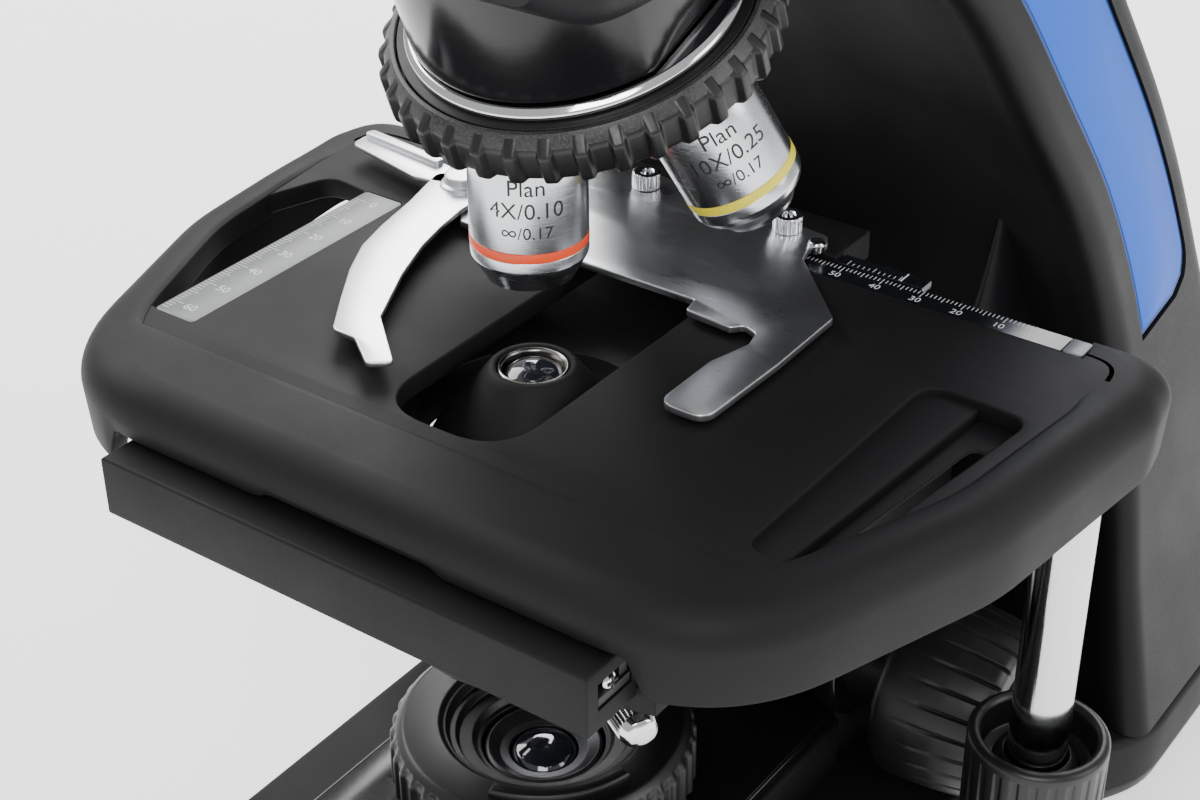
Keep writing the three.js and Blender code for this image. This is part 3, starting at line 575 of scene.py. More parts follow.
# ------------------------------------------------------------ slide holder
Z = node_box("holder_plate")[0].z
holder = outline([
    [-61, 55, 2], [-48, 35.3, 1], [16.8, 35.3, 1], [17.6, 30.6, 1], [29.4, 29.6, 1.2], [31.5, 32, 1.5],
    [35.2, 30.6, 2], [36.4, 26, 1], [33.6, 15.6, 3], [33.6, -3.4, 4], [45, -3.4, 4], [45.7, 22.5, 4],
    [45.2, 45.4, 2.5], [26, 64.8, 2], [24.6, 70, 1.2], [27.4, 73.2, 2.5], [25, 77.2, 2.5], [-29, 81.8, 6],
    [-50, 76, 3], [-66, 62, 4],
], 6)
piece("holder_plate_fine", *plate_mesh([holder], Z, Z + 1.7, 0.28, 3), STEEL, "slide_holder",
      ["holder_plate"], "steel")
FINGER_Z = Z + 2.1
finger = outline([
    [-50, 53, 3], [-66.5, 50, 3], [-62, 34, 20], [-59.3, 21, 5], [-56.4, 11, 12], [-51.2, 1, 5],
    [-44, -10, 5], [-36.6, -20.8, 3], [-30.4, -20.9, 1.5], [-21.5, -27.4, 1.5], [-17, -24, 1.5],
    [-31.8, -11, 1.5], [-40.3, 6, 12], [-45.2, 18.7, 4], [-47.6, 28, 12], [-49.2, 37, 3],
], 8)
tab = outline([[-58, 46.5, 1], [-62, 53.5, 4], [-94.2, 57.4, 2.6], [-94.2, 50.4, 2.6], [-69.4, 44.6, 4]], 8)
lip = outline([[-68, 51.4, 0.8], [-68, 54.2, 0.8], [-93, 57.2, 1.4], [-93.6, 54.6, 0.8]], 6)
piece("holder_finger_fine", *joined(
    plate_mesh([finger], FINGER_Z, FINGER_Z + 1.2, 0.25, 3),
    plate_mesh([tab], FINGER_Z, FINGER_Z + 1.2, 0.25, 3),
    plate_mesh([lip], FINGER_Z + 1.0, FINGER_Z + 2.6, 0.4, 3),
    moved(lathe_mesh([[0, FINGER_Z], [5.6, FINGER_Z], [5.6, FINGER_Z + 1.8], [4.6, FINGER_Z + 2.3],
                      [4.4, FINGER_Z + 4.2], [0, FINGER_Z + 4.2]]), at(-57, 48)),
), STEEL, "finger", ["holder_finger"], "steel")
for name in ("cap_screw_left", "cap_screw_right"):
    low, high = node_box(name)
    x, y = (low.x + high.x) / 2, (low.y + high.y) / 2
    base = high.z - 3.9

    def knurl(turn, r, z, base=base):
        return r - (0.12 if int(turn / (2 * math.pi) * 60) % 2 and r > 3 else 0)

    profile = [[0, base - 2], [1.7, base - 2], [1.7, base], [3.4, base], [3.4, high.z, 0.5],
        [1.9, high.z, 0.05],
               [1.5, high.z - 0.4, 0.05], [1.5, high.z - 2, 0.05], [0, high.z - 2]]
    piece(name + "_fine", *lathe_mesh(profile, 120, 0.2, knurl), CHROME, "slide_holder", [name], "chrome",
          at(x, y))
pin = lathe_mesh([[0, Z + 0.2], [1.7, Z + 0.2], [2.1, Z + 2.2], [1.6, Z + 3], [0, Z + 3]], 48)
piece("holder_end_pin", *moved(pin, at(25.4, 71.6)), CHROME, "slide_holder", slot="chrome")
low, high = node_box("holder_carriage")
piece("holder_carriage_fine", *joined(
    block_mesh((low.x, low.y + 0.5, TOP - 6), (high.x, high.y, Z - 0.05), 0.4),
), COAT, "slide_holder", ["holder_carriage"], "black_paint")
vernier = [block_mesh((30.5, 72.2, TOP - 2), (52, 76.6, TOP + 0.05), 0.2)]
piece("x_vernier_plate", *joined(*vernier), BLACK_RULE, "slide_holder", slot="gloss_black")
marks = []
for k in range(0, 11):
    x = 33 + k * 1.3
    marks.append(block_mesh((x - 0.07, 72.5, TOP + 0.05), (x + 0.07, 73.6 if k % 5 else 74.4, TOP + 0.1),
        0.01))
marks.append(block_mesh((46.4, 72.4, TOP + 0.05), (46.75, 76.2, TOP + 0.12), 0.01))
piece("x_vernier_marks", *joined(*marks), WHITE_INK, "slide_holder", slot="steel", angle=60)

# ------------------------------------------------------------ front bar and lower plate
low, high = node_box("front_guide_bar")
low.z = 132.8
bar = piece("front_bar_fine", *block_mesh(low, high, 0.8), COAT, "stage", ["front_guide_bar"], "black_paint")
subtract(bar, block_mesh((56, -62.2, 137.6), (64, -51.5, 143.6), 0.01))
rail = joined(
    block_mesh((57, -61.7, 137.9), (61.2, -52, 139.9), 0.2),
    block_mesh((56.6, -54.4, 139), (60.6, -52, 143), 0.2),
)
piece("guide_rail_fine", *rail, MATTE, "stage", ["guide_rail"], "steel")
screw = lathe_mesh([[0, 57], [2.0, 57], [2.0, 60.6, 0.3], [1.3, 61.3, 0.4], [0, 61.5]], 40)
screw_at = at(0, -57.6, 141.3) @ turn_y(math.pi / 2)
piece("guide_screw", *moved(screw, screw_at), CHROME, "stage", slot="chrome")
cross = joined(
    block_mesh((61.2, -57.85, 139.9), (61.62, -57.35, 142.7), 0.02),
    block_mesh((61.2, -59.0, 141.05), (61.62, -56.2, 141.55), 0.02),
)
piece("guide_screw_cross", *cross, BLACK_INK, "stage", slot="matte_black")
low, high = node_box("stage_lower_plate")
lower_edge = mirrored([[61.5, -45, 2], [61.5, 48, 4], [34, 62, 4]])
ring = [Vector((25 * math.cos(a * math.pi / 60), 25 * math.sin(a * math.pi / 60))) for a in range(120)]
piece("stage_lower_fine", *plate_mesh([lower_edge, ring], low.z, high.z, 0.4), MATTE, "stage",
      ["stage_lower_plate"], "matte_black")
bracket = loft_mesh([
    [(57.5, -50.5, 128.5), (66, -50.5, 130.5), (66, -46, 130.5), (57.5, -46, 128.5)],
    [(57.5, -50.5, 134.2), (66, -50.5, 136.6), (66, -46, 136.6), (57.5, -46, 134.2)],
])
piece("bar_bracket", *bracket, COAT, "stage", slot="black_paint")
teeth = [block_mesh((-88.4, -3, 147.8), (-82, 7, 150), 0.4),
    block_mesh((-87.4, -2, 149), (-83, 6, 151.6), 0.9)]
for k in range(9):
    y = -1.6 + k * 0.9
    teeth.append(block_mesh((-87.0, y - 0.22, 151.2), (-83.2, y + 0.22, 152.4), 0.12))
teeth.append(block_mesh((-88.4, 0, 137.5), (-61.8, 4, 139.2), 0.3))
teeth.append(block_mesh((-88.4, 0, 138), (-86, 4, 149), 0.3))
piece("y_vernier_fine", *joined(*teeth), DARK, "stage", ["y_vernier"], "steel")

# ------------------------------------------------------------ nosepiece and objectives
NOSE_TILT = math.radians(20.8)
APEX = at(0, 0, 275.5) @ turn_x(math.pi + NOSE_TILT)   # +Z runs down the nosepiece axis
RIBS = 36


def grip_wave(turn, r, z):
    phase = (turn * RIBS / (2 * math.pi)) % 1
    dip = smooth(0.0, 0.16, min(phase, 1 - phase) - 0.22)
    near = smooth(36.6, 38.4, r)
    return r - 1.5 * (1 - dip) * near * smooth(46.8, 49.5, z)


grip_profile = [[36.5, 47.2, 0.1], [36.6, 46.3, 0.2], [37.2, 46.0, 0.3], [41.0, 49.3, 0.6], [41.0, 55.3, 0.7],
                [39.8, 56.5, 0.5], [36.5, 56.5, 0.2], [36.5, 47.2]]
piece("nosepiece_grip_fine", *lathe_mesh(grip_profile, 720, 0.3, grip_wave), RUBBER, "nosepiece",
      ["nosepiece_grip"], "grip_rubber", APEX)
collar = [[36.45, 46.4], [36.7, 46.0, 0.1], [37.5, 46.1, 0.1], [39.4, 48.35, 0.1], [39.3, 48.6],
    [36.45, 47.0],
          [36.45, 46.4]]
# The chamfer's bright specks are painted glints on its rough speckled finish.
piece("nosepiece_grip_chamfer", *lathe_mesh(collar, 240, 0.1), SPECK_GLINT, "nosepiece", slot="grip_rubber",
    move=APEX)
piece("nosepiece_bright_fine", *lathe_mesh([[27, 43.6], [33.2, 43.6, 0.2], [34.4, 44.6, 0.6], [34.4, 45.6],
    [27, 45.6],
      [27, 43.6]], 200, 0.2), CHROME, "stand", ["nosepiece_bright_ring"], "chrome", APEX)
SHOULDER = 65.3                              # from the apex to the floor of an objective's seat
piece("nosepiece_turret_fine", *lathe_mesh([
    [0, 46.1], [36.2, 46.1], [36.2, 56], [34.6, 58, 1], [20, 68.5, 3], [12, 70], [0, 70]], 160, 0.4),
    MATTE, "nosepiece", ["nosepiece_turret"], "dark_metal", APEX)


def mount_ring(level, half, radius):
    points = []
    limit = math.acos(half / radius)
    for side in (0, math.pi):
        for k in range(41):
            turn = side + limit + (math.pi - 2 * limit) * k / 40
            points.append((radius * math.cos(turn), radius * math.sin(turn), level))
    return points


mount_rings = [mount_ring(43.1, 28.2, 31.6), mount_ring(43.0, 29.0, 32.4), mount_ring(42.4, 29.4, 32.9),
               mount_ring(41.5, 29.5, 33.0), mount_ring(6, 29.5, 33.0)]
mount_body = piece("nosepiece_mount_fine", *loft_mesh(mount_rings), GLOSS, "stand", ["nosepiece_mount"],
                   "gloss_black", APEX, angle=50)
subtract(mount_body, block_mesh((-80, -80, 247.9), (80, 80, 400), 0.01))

OBJECTIVES = {
    "objective_4x": (30.2, 22.6, 8.6, RED, ["Plan", "4X/0.10", "∞/0.17"]),
    "objective_10x": (31.5, 23.4, 7.0, YELLOW, ["Plan", "10X/0.25", "∞/0.17"]),
    "objective_40x": (45.0, 25.0, 4.2, PALE_BLUE, ["Plan", "40X/0.65", "∞/0.17"]),
    "objective_100x": (45.2, 25.5, 3.6, PALE, ["Plan", "100X/1.25", "∞/0.17"]),
}
FACE = Vector((math.sin(math.radians(36)), -math.cos(math.radians(36)), 0.35))
for i, (name, (nose, step, tip, band, words)) in enumerate(OBJECTIVES.items()):
    spot = APEX @ turn_z(math.pi - (math.pi / 2) * i) @ turn_x(NOSE_TILT) @ at(0, 0, SHOULDER)
    if tip > 6.5:
        barrel = [[4.8, 2], [4.8, -3.3], [8, -3.3], [8, 0.4], [11, 0.4, 0.2], [11.9, 1.2, 0.3],
            [12.05, 6, 0.2],
                  [12.05, step - 2.6, 0.1], [11.95, step - 2.5, 0.02], [11.95, step - 0.5, 0.02],
                  [12.05, step - 0.4, 0.1], [12.05, step + 2.2, 0.3]]
        lower = [[11.9, step + 2.2], [11.3, step + 3.4, 0.2], [tip + 1.2, nose - 1.6, 0.4],
            [tip + 0.6, nose - 0.4],
                 [tip - 1.2, nose, 0.3], [tip - 2.0, nose - 0.4], [tip - 2.4, nose - 3]]
        profile = barrel[:-1] + [[12.05, step + 1.8, 0.3]] + lower + [[0, nose - 3]]
    else:
        profile = [[4.8, 2], [4.8, -3.3], [8, -3.3], [8, 0.4], [11, 0.4, 0.2], [11.9, 1.2, 0.3],
            [12.05, 6, 0.2],
                   [12.05, step - 3], [11.95, step - 2.9], [11.95, step - 0.9], [12.05, step - 0.8],
                   [12.05, step, 0.4],
                   [10.2, step + 2, 0.4], [9, step + 8, 0.6], [tip + 2, nose - 4, 0.5], [tip, nose, 0.3],
                   [0, nose]]
    sides = 128
    piece(name + "_fine", *lathe_mesh(profile, sides, 0.15), SATIN, "nosepiece", [name], "chrome", spot)
    ring_z = step - (1.5 if tip > 6.5 else 1.9)
    piece(name + "_band", *lathe_mesh([[11.4, ring_z - 0.95], [12.12, ring_z - 0.95, 0.05],
        [12.12, ring_z + 0.95, 0.05],
          [11.4, ring_z + 0.95], [11.4, ring_z - 0.95]], sides, 0.05), band, "nosepiece", slot="chrome",
          move=spot)
    if tip > 6.5:
        glass = [[0, nose - 1.8], [tip - 2.6, nose - 2.2, 0.1], [tip - 2.6, nose - 3.4], [0, nose - 3.4]]
        piece(name + "_front_glass", *lathe_mesh(glass, 64, 0.1), LENS, "nosepiece", slot="glass", move=spot)
    local = spot.to_3x3().inverted() @ FACE
    middle = math.atan2(local.y, local.x)
    letters = []
    for line, (height, level) in zip(words, ((3.3, step - 16.6), (3.3, step - 11.7), (2.5, step - 7.0))):
        flat, faces = text_mesh(line, height)
        wrapped = []
        for x, y, z in flat:
            turn = middle - x / 12.05
            wrapped.append((12.09 * math.cos(turn), 12.09 * math.sin(turn), level - y))
        letters.append((wrapped, faces))
    piece(name + "_marking", *joined(*letters), BLACK_INK, "nosepiece", slot="matte_black", move=spot,
        angle=60)

# ------------------------------------------------------------ condenser
piece("condenser_body_fine", *lathe_mesh([
    [7.8, 92], [18.7, 92], [18.7, 117], [23, 117], [23, 139.6, 0.6], [21.6, 142, 0.8], [10.0, 157.2, 0.5],
    [9.0, 158.2, 0.3], [8.0, 158.2, 0.1], [7.7, 157.2, 0.1], [7.7, 150], [7.8, 131], [7.8, 92]], 128, 0.3),
    COAT, "condenser", ["condenser_body"], "matte_black")
piece("condenser_lens_seat", *lathe_mesh([[7.65, 155.2], [7.65, 157.6, 0.1], [7.2, 158.0, 0.1],
    [6.7, 157.5, 0.1],
      [6.3, 155.6, 0.1], [6.3, 155.2], [7.65, 155.2]], 96, 0.1), LENS_RIM, "condenser", slot="chrome")
piece("condenser_lens_fine", *lathe_mesh([[0, 150], [6.4, 150], [6.4, 155.6], [6.0, 156.4, 0.3],
    [4.6, 157.5, 0.8],
      [2.4, 158.3, 1], [0, 158.6]], 96, 0.3), LENS, "condenser", ["condenser_lens"], "glass")
clamp_turn = turn_z(math.radians(-30))
SCREW = at(0, 0, 100) @ clamp_turn @ turn_y(math.pi / 2)


def straight_knurl(count, depth, low, high):
    def wave(turn, r, z):
        phase = (turn * count / (2 * math.pi)) % 1
        inside = smooth(low - 0.3, low + 0.3, z) * (1 - smooth(high - 0.5, high + 0.3, z))
        return r - depth * (0.5 - 0.5 * math.cos(2 * math.pi * phase)) * inside
    return wave


piece("condenser_screw_fine", *lathe_mesh([
    [0, 20], [2.3, 20], [2.3, 40], [3.9, 40], [4.4, 40.6, 0.3], [4.4, 42.6, 0.1], [4.4, 44, 0.1],
    [4.4, 48, 0.1], [4.4, 51, 0.1],
    [4.4, 52.2, 0.3], [4.1, 52.8, 0.2], [3.5, 54.0, 0.5], [2, 54.6, 0.5], [0, 54.75]], 224, 0.2,
    straight_knurl(28, 0.42, 41, 52)), CHROME, "condenser_screw", ["condenser_clamp_screw"], "chrome", SCREW)

# ------------------------------------------------------------ field ring, lens and tower
RING_TOP = node_box("field_tower")[1].z + 8


def field_wave(turn, r, z):
    phase = (turn * 44 / (2 * math.pi)) % 1
    near = smooth(33.6, 34.6, r)
    return r - 0.95 * near * smooth(0.1, 0.3, abs(phase - 0.5)) * (1 - smooth(60, 61.5, z))


field = [[14.5, 46.4], [33.5, 46.4], [35.8, 48, 0.6], [35.8, 59.4, 0.8], [34.2, 61.6, 0.8],
    [32.6, RING_TOP, 0.6],
         [24.3, RING_TOP, 0.4], [23.3, RING_TOP - 0.9, 0.2], [22.6, RING_TOP - 1.0, 0.2],
         [21.9, RING_TOP - 3.2, 0.3],
         [20.4, RING_TOP - 3.3, 0.2], [19.8, RING_TOP - 5.2, 0.3], [16.6, RING_TOP - 5.5, 0.2],
         [15.6, RING_TOP - 7.2, 0.2], [14.5, RING_TOP - 7.4], [14.5, 46.4]]
piece("field_ring_fine", *lathe_mesh(field, 528, 0.3, field_wave), RUBBER, "field_ring",
      ["field_diaphragm_ring"], "grip_rubber")
for n, start in enumerate((-1.35, -1.35 + math.pi)):
    arc = []
    for k in range(41):
        turn = start + 1.15 * k / 40
        arc.append(Vector((29.4 * math.cos(turn), 29.4 * math.sin(turn))))
    for k in range(41):
        turn = start + 1.15 * (1 - k / 40)
        arc.append(Vector((26.2 * math.cos(turn), 26.2 * math.sin(turn))))
    piece(f"field_ring_ridge_{n}", *plate_mesh([arc], RING_TOP - 1, RING_TOP + 2, 0.7, 3), RUBBER,
        "field_ring",
          slot="grip_rubber")
piece("field_tower_fine", *lathe_mesh([
    [10, 38.4], [28, 38.4], [28, 46], [14, 46], [14, 54.6, 0.4], [13, 55.2, 0.3], [10.4, 53.4, 0.3],
    [8.2, 53.2, 0.2],
    [8, 49], [10, 49], [10, 38.4]], 128, 0.3), DARK, "stand", ["field_tower"], "matte_black")
piece("field_lens_fine", *lathe_mesh([[0, 50], [7.7, 50], [7.7, 52.6, 0.3], [6.6, 53.8, 0.4],
    [3.6, 54.8, 0.8],
      [0, 55.1]], 96, 0.3), LENS, "stand", ["field_lens"], "glass")

# ------------------------------------------------------------ knobs and drive
low, high = node_box("drive_sleeve")
DRIVE_X, DRIVE_Y = (low.x + high.x) / 2, (low.y + high.y) / 2
piece("drive_sleeve_fine", *lathe_mesh([
    [0, 24], [2.6, 24], [2.6, 44], [4.4, 44], [4.4, 69], [6.6, 69], [6.6, 151.5, 0.3], [7.2, 152],
    [7.2, 154.7],
    [0, 154.7]], 96, 0.2), CHROME, "stage_top", ["drive_sleeve"], "chrome", at(DRIVE_X, DRIVE_Y))


def knob_wave(count, depth, low, high):
    def wave(turn, r, z):
        phase = (turn * count / (2 * math.pi)) % 1
        groove = 1 - smooth(0.10, 0.30, abs(phase - 0.5))
        inside = smooth(low, low + 1.5, z) * (1 - smooth(high - 1.5, high, z))
        return r - depth * groove * inside * smooth(13.4, 14.4, r)
    return wave


upper = [[4.7, 49], [14.6, 49, 0.8], [15.6, 51, 0.8], [15.6, 74.6, 0.3], [15.6, 76.2, 0.8], [14.6, 77, 0.7],
         [13.2, 77, 0.6], [12.5, 76, 0.4], [12.2, 69.4, 0.4], [9.6, 68.6, 0.4], [9.2, 70.4, 0.3],
         [8.0, 71.2, 0.5],
         [7.2, 71.6, 0.4], [6.8, 69, 0.2], [4.7, 68.6], [4.7, 49]]
piece("y_knob_fine", *lathe_mesh(upper, 480, 0.3, knob_wave(24, 0.8, 50, 74.5)), RUBBER, "y_drive",
    ["y_knob"],
      "grip_rubber", at(DRIVE_X, DRIVE_Y))
lower = [[2.9, 27], [12.6, 27, 0.8], [13.6, 28.4, 0.8], [13.6, 47.4, 0.6], [12.8, 48.7, 0.5], [2.9, 48.7],
    [2.9, 27]]


def x_wave(turn, r, z):
    phase = (turn * 22 / (2 * math.pi)) % 1
    return r - 0.8 * (1 - smooth(0.1, 0.3, abs(phase - 0.5))) * smooth(11.5, 12.6, r)


piece("x_knob_fine", *lathe_mesh(lower, 440, 0.3, x_wave), RUBBER, "x_drive", ["x_knob"], "grip_rubber",
      at(DRIVE_X, DRIVE_Y))

low, high = node_box("focus_shaft")
FOCUS_Y, FOCUS_Z = (low.y + high.y) / 2, (low.z + high.z) / 2


def coarse_wave(turn, r, z):
    phase = (turn * 26 / (2 * math.pi)) % 1
    groove = 1 - smooth(0.0, 0.13, abs(phase - 0.5))
    return r - 0.9 * groove * smooth(64, 78, z) * smooth(15, 18, r)


coarse = [[5.4, 42.4], [11, 42.4, 0.3], [11, 56.4, 1.2], [21.5, 56.6, 1.2], [23.6, 58.6, 1.0], [23.9, 62, 2],
    [23.6, 68, 1],
          [23.0, 74, 1], [22.2, 79, 1], [21.2, 83.6, 1], [19.8, 85, 0.8], [15.6, 85.2, 0.6],
          [14.3, 84.2, 0.4],
          [14, 77.2, 0.3], [5.4, 77], [5.4, 42.4]]
fine = [[0, 77.4], [12, 77.4], [13, 78.6, 0.4], [12.9, 84.6, 0.5], [11.8, 86.3, 0.6], [9.4, 86.4, 0.4],
    [8.6, 85.7, 0.4],
        [0, 85.5]]
for name, side in (("right", 1), ("left", -1)):
    spin = at(0, FOCUS_Y, FOCUS_Z) @ turn_y(side * math.pi / 2)
    piece(f"coarse_knob_{name}_fine", *lathe_mesh(coarse, 416, 0.3, coarse_wave), RUBBER, "coarse_drive",
          [f"coarse_knob_{name}"], "grip_rubber", spin)
    piece(f"fine_knob_{name}_fine", *lathe_mesh(fine, 96, 0.3), RUBBER, "fine_drive", [f"fine_knob_{name}"],
          "grip_rubber", spin)

# ------------------------------------------------------------ arm
ARM_STATIONS = [
    ((118, 22.3), (187, 22.3), 102, 28), ((126, 60), (190, 60), 91, 30), ((131, 92), (188, 98), 84, 28),
    ((131, 124), (179, 134), 77, 22), ((118, 160), (164, 171), 71, 16), ((100, 190), (143, 207), 65, 12),
    ((80, 222), (117, 248), 57, 9), ((62, 240), (84, 284), 50, 6), ((38, 248), (44, 303), 44, 3),
    ((0, 249), (0, 306), 40, 0), ((-26, 249), (-26, 305), 38, 0), ((-36, 254), (-36, 300), 31, 0),
]


def spline(points, t):
    """Centripetal Catmull-Rom through the points, the same curve as the solid's."""
    count = len(points)
    place = t * (count - 1)
    i = min(int(place), count - 2)
    w = place - i
    p1, p2 = points[i], points[i + 1]
    p0 = points[i - 1] if i > 0 else p1 * 2 - p2
    p3 = points[i + 2] if i + 2 < count else p2 * 2 - p1
    d0 = max((p0 - p1).length ** 0.5, 1e-4)
    d1 = max((p1 - p2).length ** 0.5, 1e-4)
    d2 = max((p2 - p3).length ** 0.5, 1e-4)
    t1 = ((p1 - p0) / d0 - (p2 - p0) / (d0 + d1) + (p2 - p1) / d1) * d1
    t2 = ((p2 - p1) / d1 - (p3 - p1) / (d1 + d2) + (p3 - p2) / d2) * d1
    return (p1 + t1 * w + (p1 * -3 + p2 * 3 - t1 * 2 - t2) * w ** 2 + (p1 * 2 - p2 * 2 + t1 + t2) * w ** 3)


FRONT = [Vector((0, *s[0])) for s in ARM_STATIONS]
REAR = [Vector((0, *s[1])) for s in ARM_STATIONS]
SIZES = [Vector((s[2], s[3], 0)) for s in ARM_STATIONS]


def arm_frame(t):
    sizes = spline(SIZES, t)
    return spline(FRONT, t), spline(REAR, t), sizes.x, max(0.0, sizes.y)


def arm_point(parts, x, depth):
    point = parts[0].lerp(parts[1], depth)
    return (x, point.y, point.z)


def arm_ring(t):
    parts = arm_frame(t)
    front, rear, half, channel = parts
    length = (front - rear).length
    corner = min(5, half * 0.3)
    side = [(half * 0.25, 1.0), (half * 0.52, 1.0)]
    for k in range(13):
        turn = (math.pi / 2) * k / 12
        side.append((half - corner * (1 - math.sin(turn)), 1 - corner * 1.4 / length * (1 - math.cos(turn))))
    side += [(half, 1 - (corner * 1.4 + 3) / length)]
    for k in range(12):
        share = 1 - (corner * 1.4 + 3) / length
        side.append((half, share + (6.5 / length - share) * (k + 1) / 12))
    for k in range(7):
        turn = (math.pi / 2) * k / 6
        side.append((half - 5 * (1 - math.cos(turn)), (5.2 - 5.2 * math.sin(turn)) / length))
    steps = 22
    for k in range(1, steps + 1):
        u = k / steps
        ease = smooth(0, 0.12, u) * math.sin((math.pi / 2) * u)
        side.append(((half - 5) * (1 - u) + half * 0.06 * u, channel / length * ease))
    other = [(-x, d) for x, d in reversed(side)]
    return [arm_point(parts, x, d) for x, d in side + other]


ARM_STEPS = 110
arm = piece("arm_fine", *loft_mesh([arm_ring(k / ARM_STEPS) for k in range(ARM_STEPS + 1)]), ARM, "stand",
            ["arm_casting"], "black_paint", angle=40)
for name, side in (("right", 1), ("left", -1)):
    rings = []
    for k in range(31):
        s = k / 30
        front = 139 - 27 * s ** 1.6
        wide = 0.5 + 9 * s ** 1.4
        rings.append([(side * 40 + wide * math.cos(math.pi * j / 20),
            143 - (143 - front) * math.sin(math.pi * j / 20),
                       161 - 66 * s) for j in range(21)])
    piece(f"arm_fairing_{name}", *loft_mesh(rings), ARM, "stand", slot="black_paint", angle=50)
PANEL_LOW, PANEL_HIGH = 0.262, 0.70
PANEL_STEPS = 70


def panel_far(k, far, length, grow):
    """Rear edge of the panel: its lower rear corner is rounded."""
    reach = 9.0
    along = k / PANEL_STEPS * 150
    if along < reach:
        return far - (reach - math.sqrt(max(0, reach ** 2 - (reach - along) ** 2))) / length
    return far


def panel_mesh(side, low, high, levels, grow=0.0):
    """levels are (offset from the arm's side, inset of the outline)."""
    rings = []
    for k in range(PANEL_STEPS + 1):
        t = low + (high - low) * k / PANEL_STEPS
        parts = arm_frame(t)
        length = (parts[0] - parts[1]).length
        near = 0.24 - grow / length
        far = panel_far(k, 0.80 + grow / length, length, grow)
        ring = []
        for offset, inset in levels:
            ring.append(arm_point(parts, side * (parts[2] + offset), near + inset / length))
        for offset, inset in reversed(levels):
            ring.append(arm_point(parts, side * (parts[2] + offset), far - inset / length))
        rings.append(ring)
    return loft_mesh(rings)


for name, side in (("right", 1), ("left", -1)):
    subtract(arm, panel_mesh(side, PANEL_LOW - 0.0025, PANEL_HIGH + 0.0025, [(-1.7, 0), (4, 0)], 0.35))
    # The sunken rim piece carries the darker blue: painted shade in the groove round the panel.
    piece(f"arm_panel_{name}_edge", *panel_mesh(side, PANEL_LOW, PANEL_HIGH,
        [(-1.5, 0), (-0.75, 0.0), (-0.55, 0.25)]),
          BLUE_SHADED_EDGE, "stand", slot="blue_panel", angle=45)
    piece(f"arm_panel_{name}_fine", *panel_mesh(side, PANEL_LOW + 0.004, PANEL_HIGH - 0.003,
          [(-1.4, 1.1), (-0.35, 1.1), (-0.15, 1.4)]), BLUE, "stand", [f"arm_panel_{name}"], "blue_panel",
          angle=45)

# ------------------------------------------------------------ base
def base_line(inset, count=260):
    return resample(mirrored([
        [72 - inset, -100 + inset, 28], [72 - inset, 70, 30], [103 - inset, 124, 30],
        [103 - inset, 190 - inset, 12],
    ], 14), count)


rings = [ring3(base_line(3), 6.3), ring3(base_line(0.6), 6.3), ring3(base_line(0.15), 6.6),
    ring3(base_line(0), 7.2)]
for k in range(9):
    turn = (math.pi / 2) * k / 8
    rings.append(ring3(base_line(2.5 * (1 - math.cos(turn))), 19.5 + 2.5 * math.sin(turn)))
base = piece("base_fine", *loft_mesh(rings), COAT, "stand", ["base_housing"], "black_paint")
subtract(
    base,
    block_mesh((-14.3, 180, 7.7), (14.3, 195, 17.3), 0.02),
    block_mesh((34.7, 180, 7.7), (57.3, 195, 17.3), 0.02),
)
deck = mirrored([[43, -88, 18], [43, 65.7, 2]])
hole = [Vector((13 * math.cos(a * math.pi / 48), 13 * math.sin(a * math.pi / 48))) for a in range(96)]
piece("base_deck_fine", *plate_mesh([deck, hole], 21.5, 38, 1.2, 4), COAT, "stand", slot="black_paint")
cover = mirrored([[42, -87, 17], [42, 64.7, 2]])
hole = [Vector((28.6 * math.cos(a * math.pi / 48), 28.6 * math.sin(a * math.pi / 48))) for a in range(96)]
piece("base_cover_fine", *plate_mesh([cover, hole], 38.3, 41.5, 1.0, 4), GLOSS, "stand", ["base_top_cover"],
      "gloss_black")
piece("bottom_plate_fine", *plate_mesh([base_line(1)], 3, 6, 0.4), DARK, "stand", ["bottom_plate"],
    "dark_metal")
for name in ("foot_front_left", "foot_front_right", "foot_rear_left", "foot_rear_right"):
    low, high = node_box(name)
    piece(name + "_fine", *lathe_mesh([[0, 0], [9.4, 0, 0.3], [11, 1, 0.4], [11, 2.9], [0, 2.9]], 64, 0.2),
        RUBBER,
          "stand", [name], "grip_rubber", at((low.x + high.x) / 2, (low.y + high.y) / 2))


def housing_ring(half, front, height):
    return ring3(resample(mirrored([[half, front, 9], [half, 134, 1]], 12), 160), height)


housing = piece("focus_housing_fine", *loft_mesh([
    housing_ring(42, 66, 22.3), housing_ring(42, 66, 90), housing_ring(41.5, 66.6, 93),
    housing_ring(40.3, 68, 95.6),
    housing_ring(38.4, 70.4, 97)]), ARM, "stand", ["focus_housing"], "black_paint", angle=40)
subtract(housing, block_mesh((-60, 118, 10), (60, 200, 200), 0.01))
for side in (1, -1):
    boss = lathe_mesh([[5.5, 38], [15.5, 38], [15.5, 43.6, 0.8], [12.4, 44.8, 0.8], [5.5, 44.8], [5.5, 38]],
        96, 0.5)
    piece("focus_boss_" + ("right" if side > 0 else "left"), *moved(boss, turn_y(side * math.pi / 2)), GLOSS,
        "stand",
          slot="gloss_black", move=at(0, FOCUS_Y, FOCUS_Z))

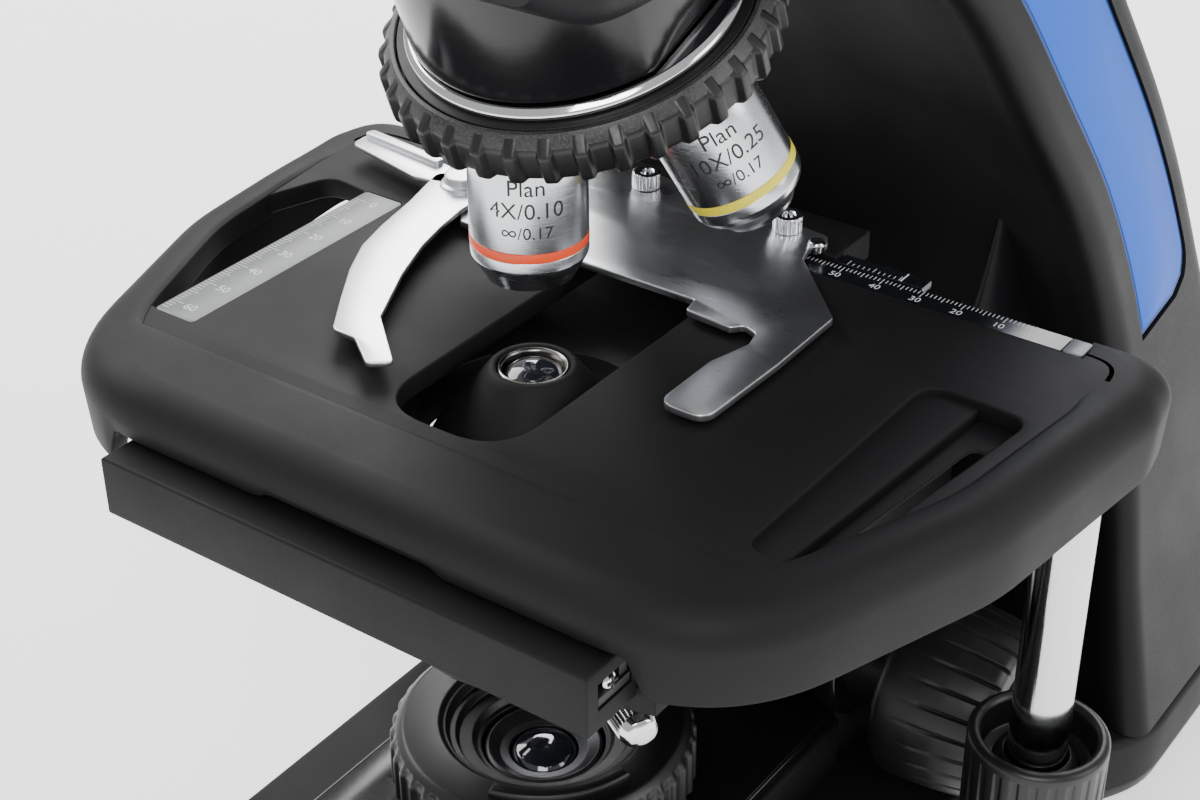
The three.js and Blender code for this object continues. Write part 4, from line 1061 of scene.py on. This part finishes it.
# ------------------------------------------------------------ pieces kept from the frame
CARRIED = {
    "power_inlet": MATTE, "power_switch": GLOSS, "brightness_knob": RUBBER, "led_lamp": LAMP,
    "stage_carriage": DARK, "condenser_mount": MATTE, "iris_lever": DARK, "condenser_knob": RUBBER,
    "head_body": ARM, "head_clamp_screw": CHROME, "eyepiece_tube_right": SATIN, "eyepiece_tube_left": SATIN,
    "eyepiece_right": MATTE, "eyepiece_left": MATTE, "diopter_ring": RUBBER,
}
for name, material in CARRIED.items():
    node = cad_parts[name]
    node.data.materials.clear()
    node.data.materials.append(material)
    node.data.polygons.foreach_set("use_smooth", [True] * len(node.data.polygons))
    node.data.set_sharp_from_angle(angle=math.radians(28))
    soften = node.modifiers.new("soft edges", "BEVEL")
    soften.width = 0.0004
    soften.segments = 2
    soften.limit_method = "ANGLE"
    soften.angle_limit = math.radians(40)

# ------------------------------------------------------------ camera and light
LOOK = math.radians(36.11)
DOWN = math.radians(31.87)
ROLL = math.radians(-0.517)
back = Vector((math.sin(LOOK) * math.cos(DOWN), -math.cos(LOOK) * math.cos(DOWN), math.sin(DOWN)))
right = (-back).cross(Vector((0, 0, 1))).normalized()
up = right.cross(-back)
right, up = right * math.cos(ROLL) + up * math.sin(ROLL), up * math.cos(ROLL) - right * math.sin(ROLL)
eye = bpy.data.cameras.new("camera")
eye.lens = 62.96
eye.sensor_width = 36
eye.clip_start = 0.01
camera = bpy.data.objects.new("camera", eye)
spot = PLACE @ Vector((232.2, -294.8, TOP + 222.4))
camera.matrix_world = Matrix((
    (right.x, up.x, back.x, spot.x), (right.y, up.y, back.y, spot.y),
    (right.z, up.z, back.z, spot.z), (0, 0, 0, 1)))
bpy.context.scene.collection.objects.link(camera)
bpy.context.scene.camera = camera

world = bpy.data.worlds.new("studio")
world.use_nodes = True
world.node_tree.nodes["Background"].inputs["Color"].default_value = (1, 1, 1, 1)
world.node_tree.nodes["Background"].inputs["Strength"].default_value = 0.55
bpy.context.scene.world = world


def panel(name, place, target, width, height, power):
    light = bpy.data.lights.new(name, "AREA")
    light.shape = "RECTANGLE"
    light.size = width
    light.size_y = height
    light.energy = power
    obj = bpy.data.objects.new(name, light)
    obj.location = place
    aim = Vector(target) - Vector(place)
    obj.rotation_euler = aim.to_track_quat("-Z", "Y").to_euler()
    bpy.context.scene.collection.objects.link(obj)


panel("key", (0.55, -0.95, 1.1), (0.0, 0.0, 0.16), 0.7, 0.5, 11)
panel("fill", (-1.05, 0.05, 0.95), (0, 0, 0.18), 0.9, 0.7, 14)
panel("rear", (-0.55, 1.15, 0.95), (0, 0, 0.16), 1.1, 0.7, 26)
panel("side", (1.2, 0.35, 0.75), (0, 0, 0.12), 0.5, 0.9, 7)

ground = bpy.data.meshes.new("floor")
ground.from_pydata([(-4, -4, -0.0002), (4, -4, -0.0002), (4, 4, -0.0002), (-4, 4, -0.0002)], [],
    [(0, 1, 2, 3)])
paper = shader("floor", (0.93, 0.93, 0.93), 0.7, grain=300, vary=0.01)
paper.node_tree.nodes["Principled BSDF"].inputs["Emission Color"].default_value = (1, 1, 1, 1)
paper.node_tree.nodes["Principled BSDF"].inputs["Emission Strength"].default_value = 0.8
ground.materials.append(paper)
floor = bpy.data.objects.new("floor", ground)
bpy.context.scene.collection.objects.link(floor)
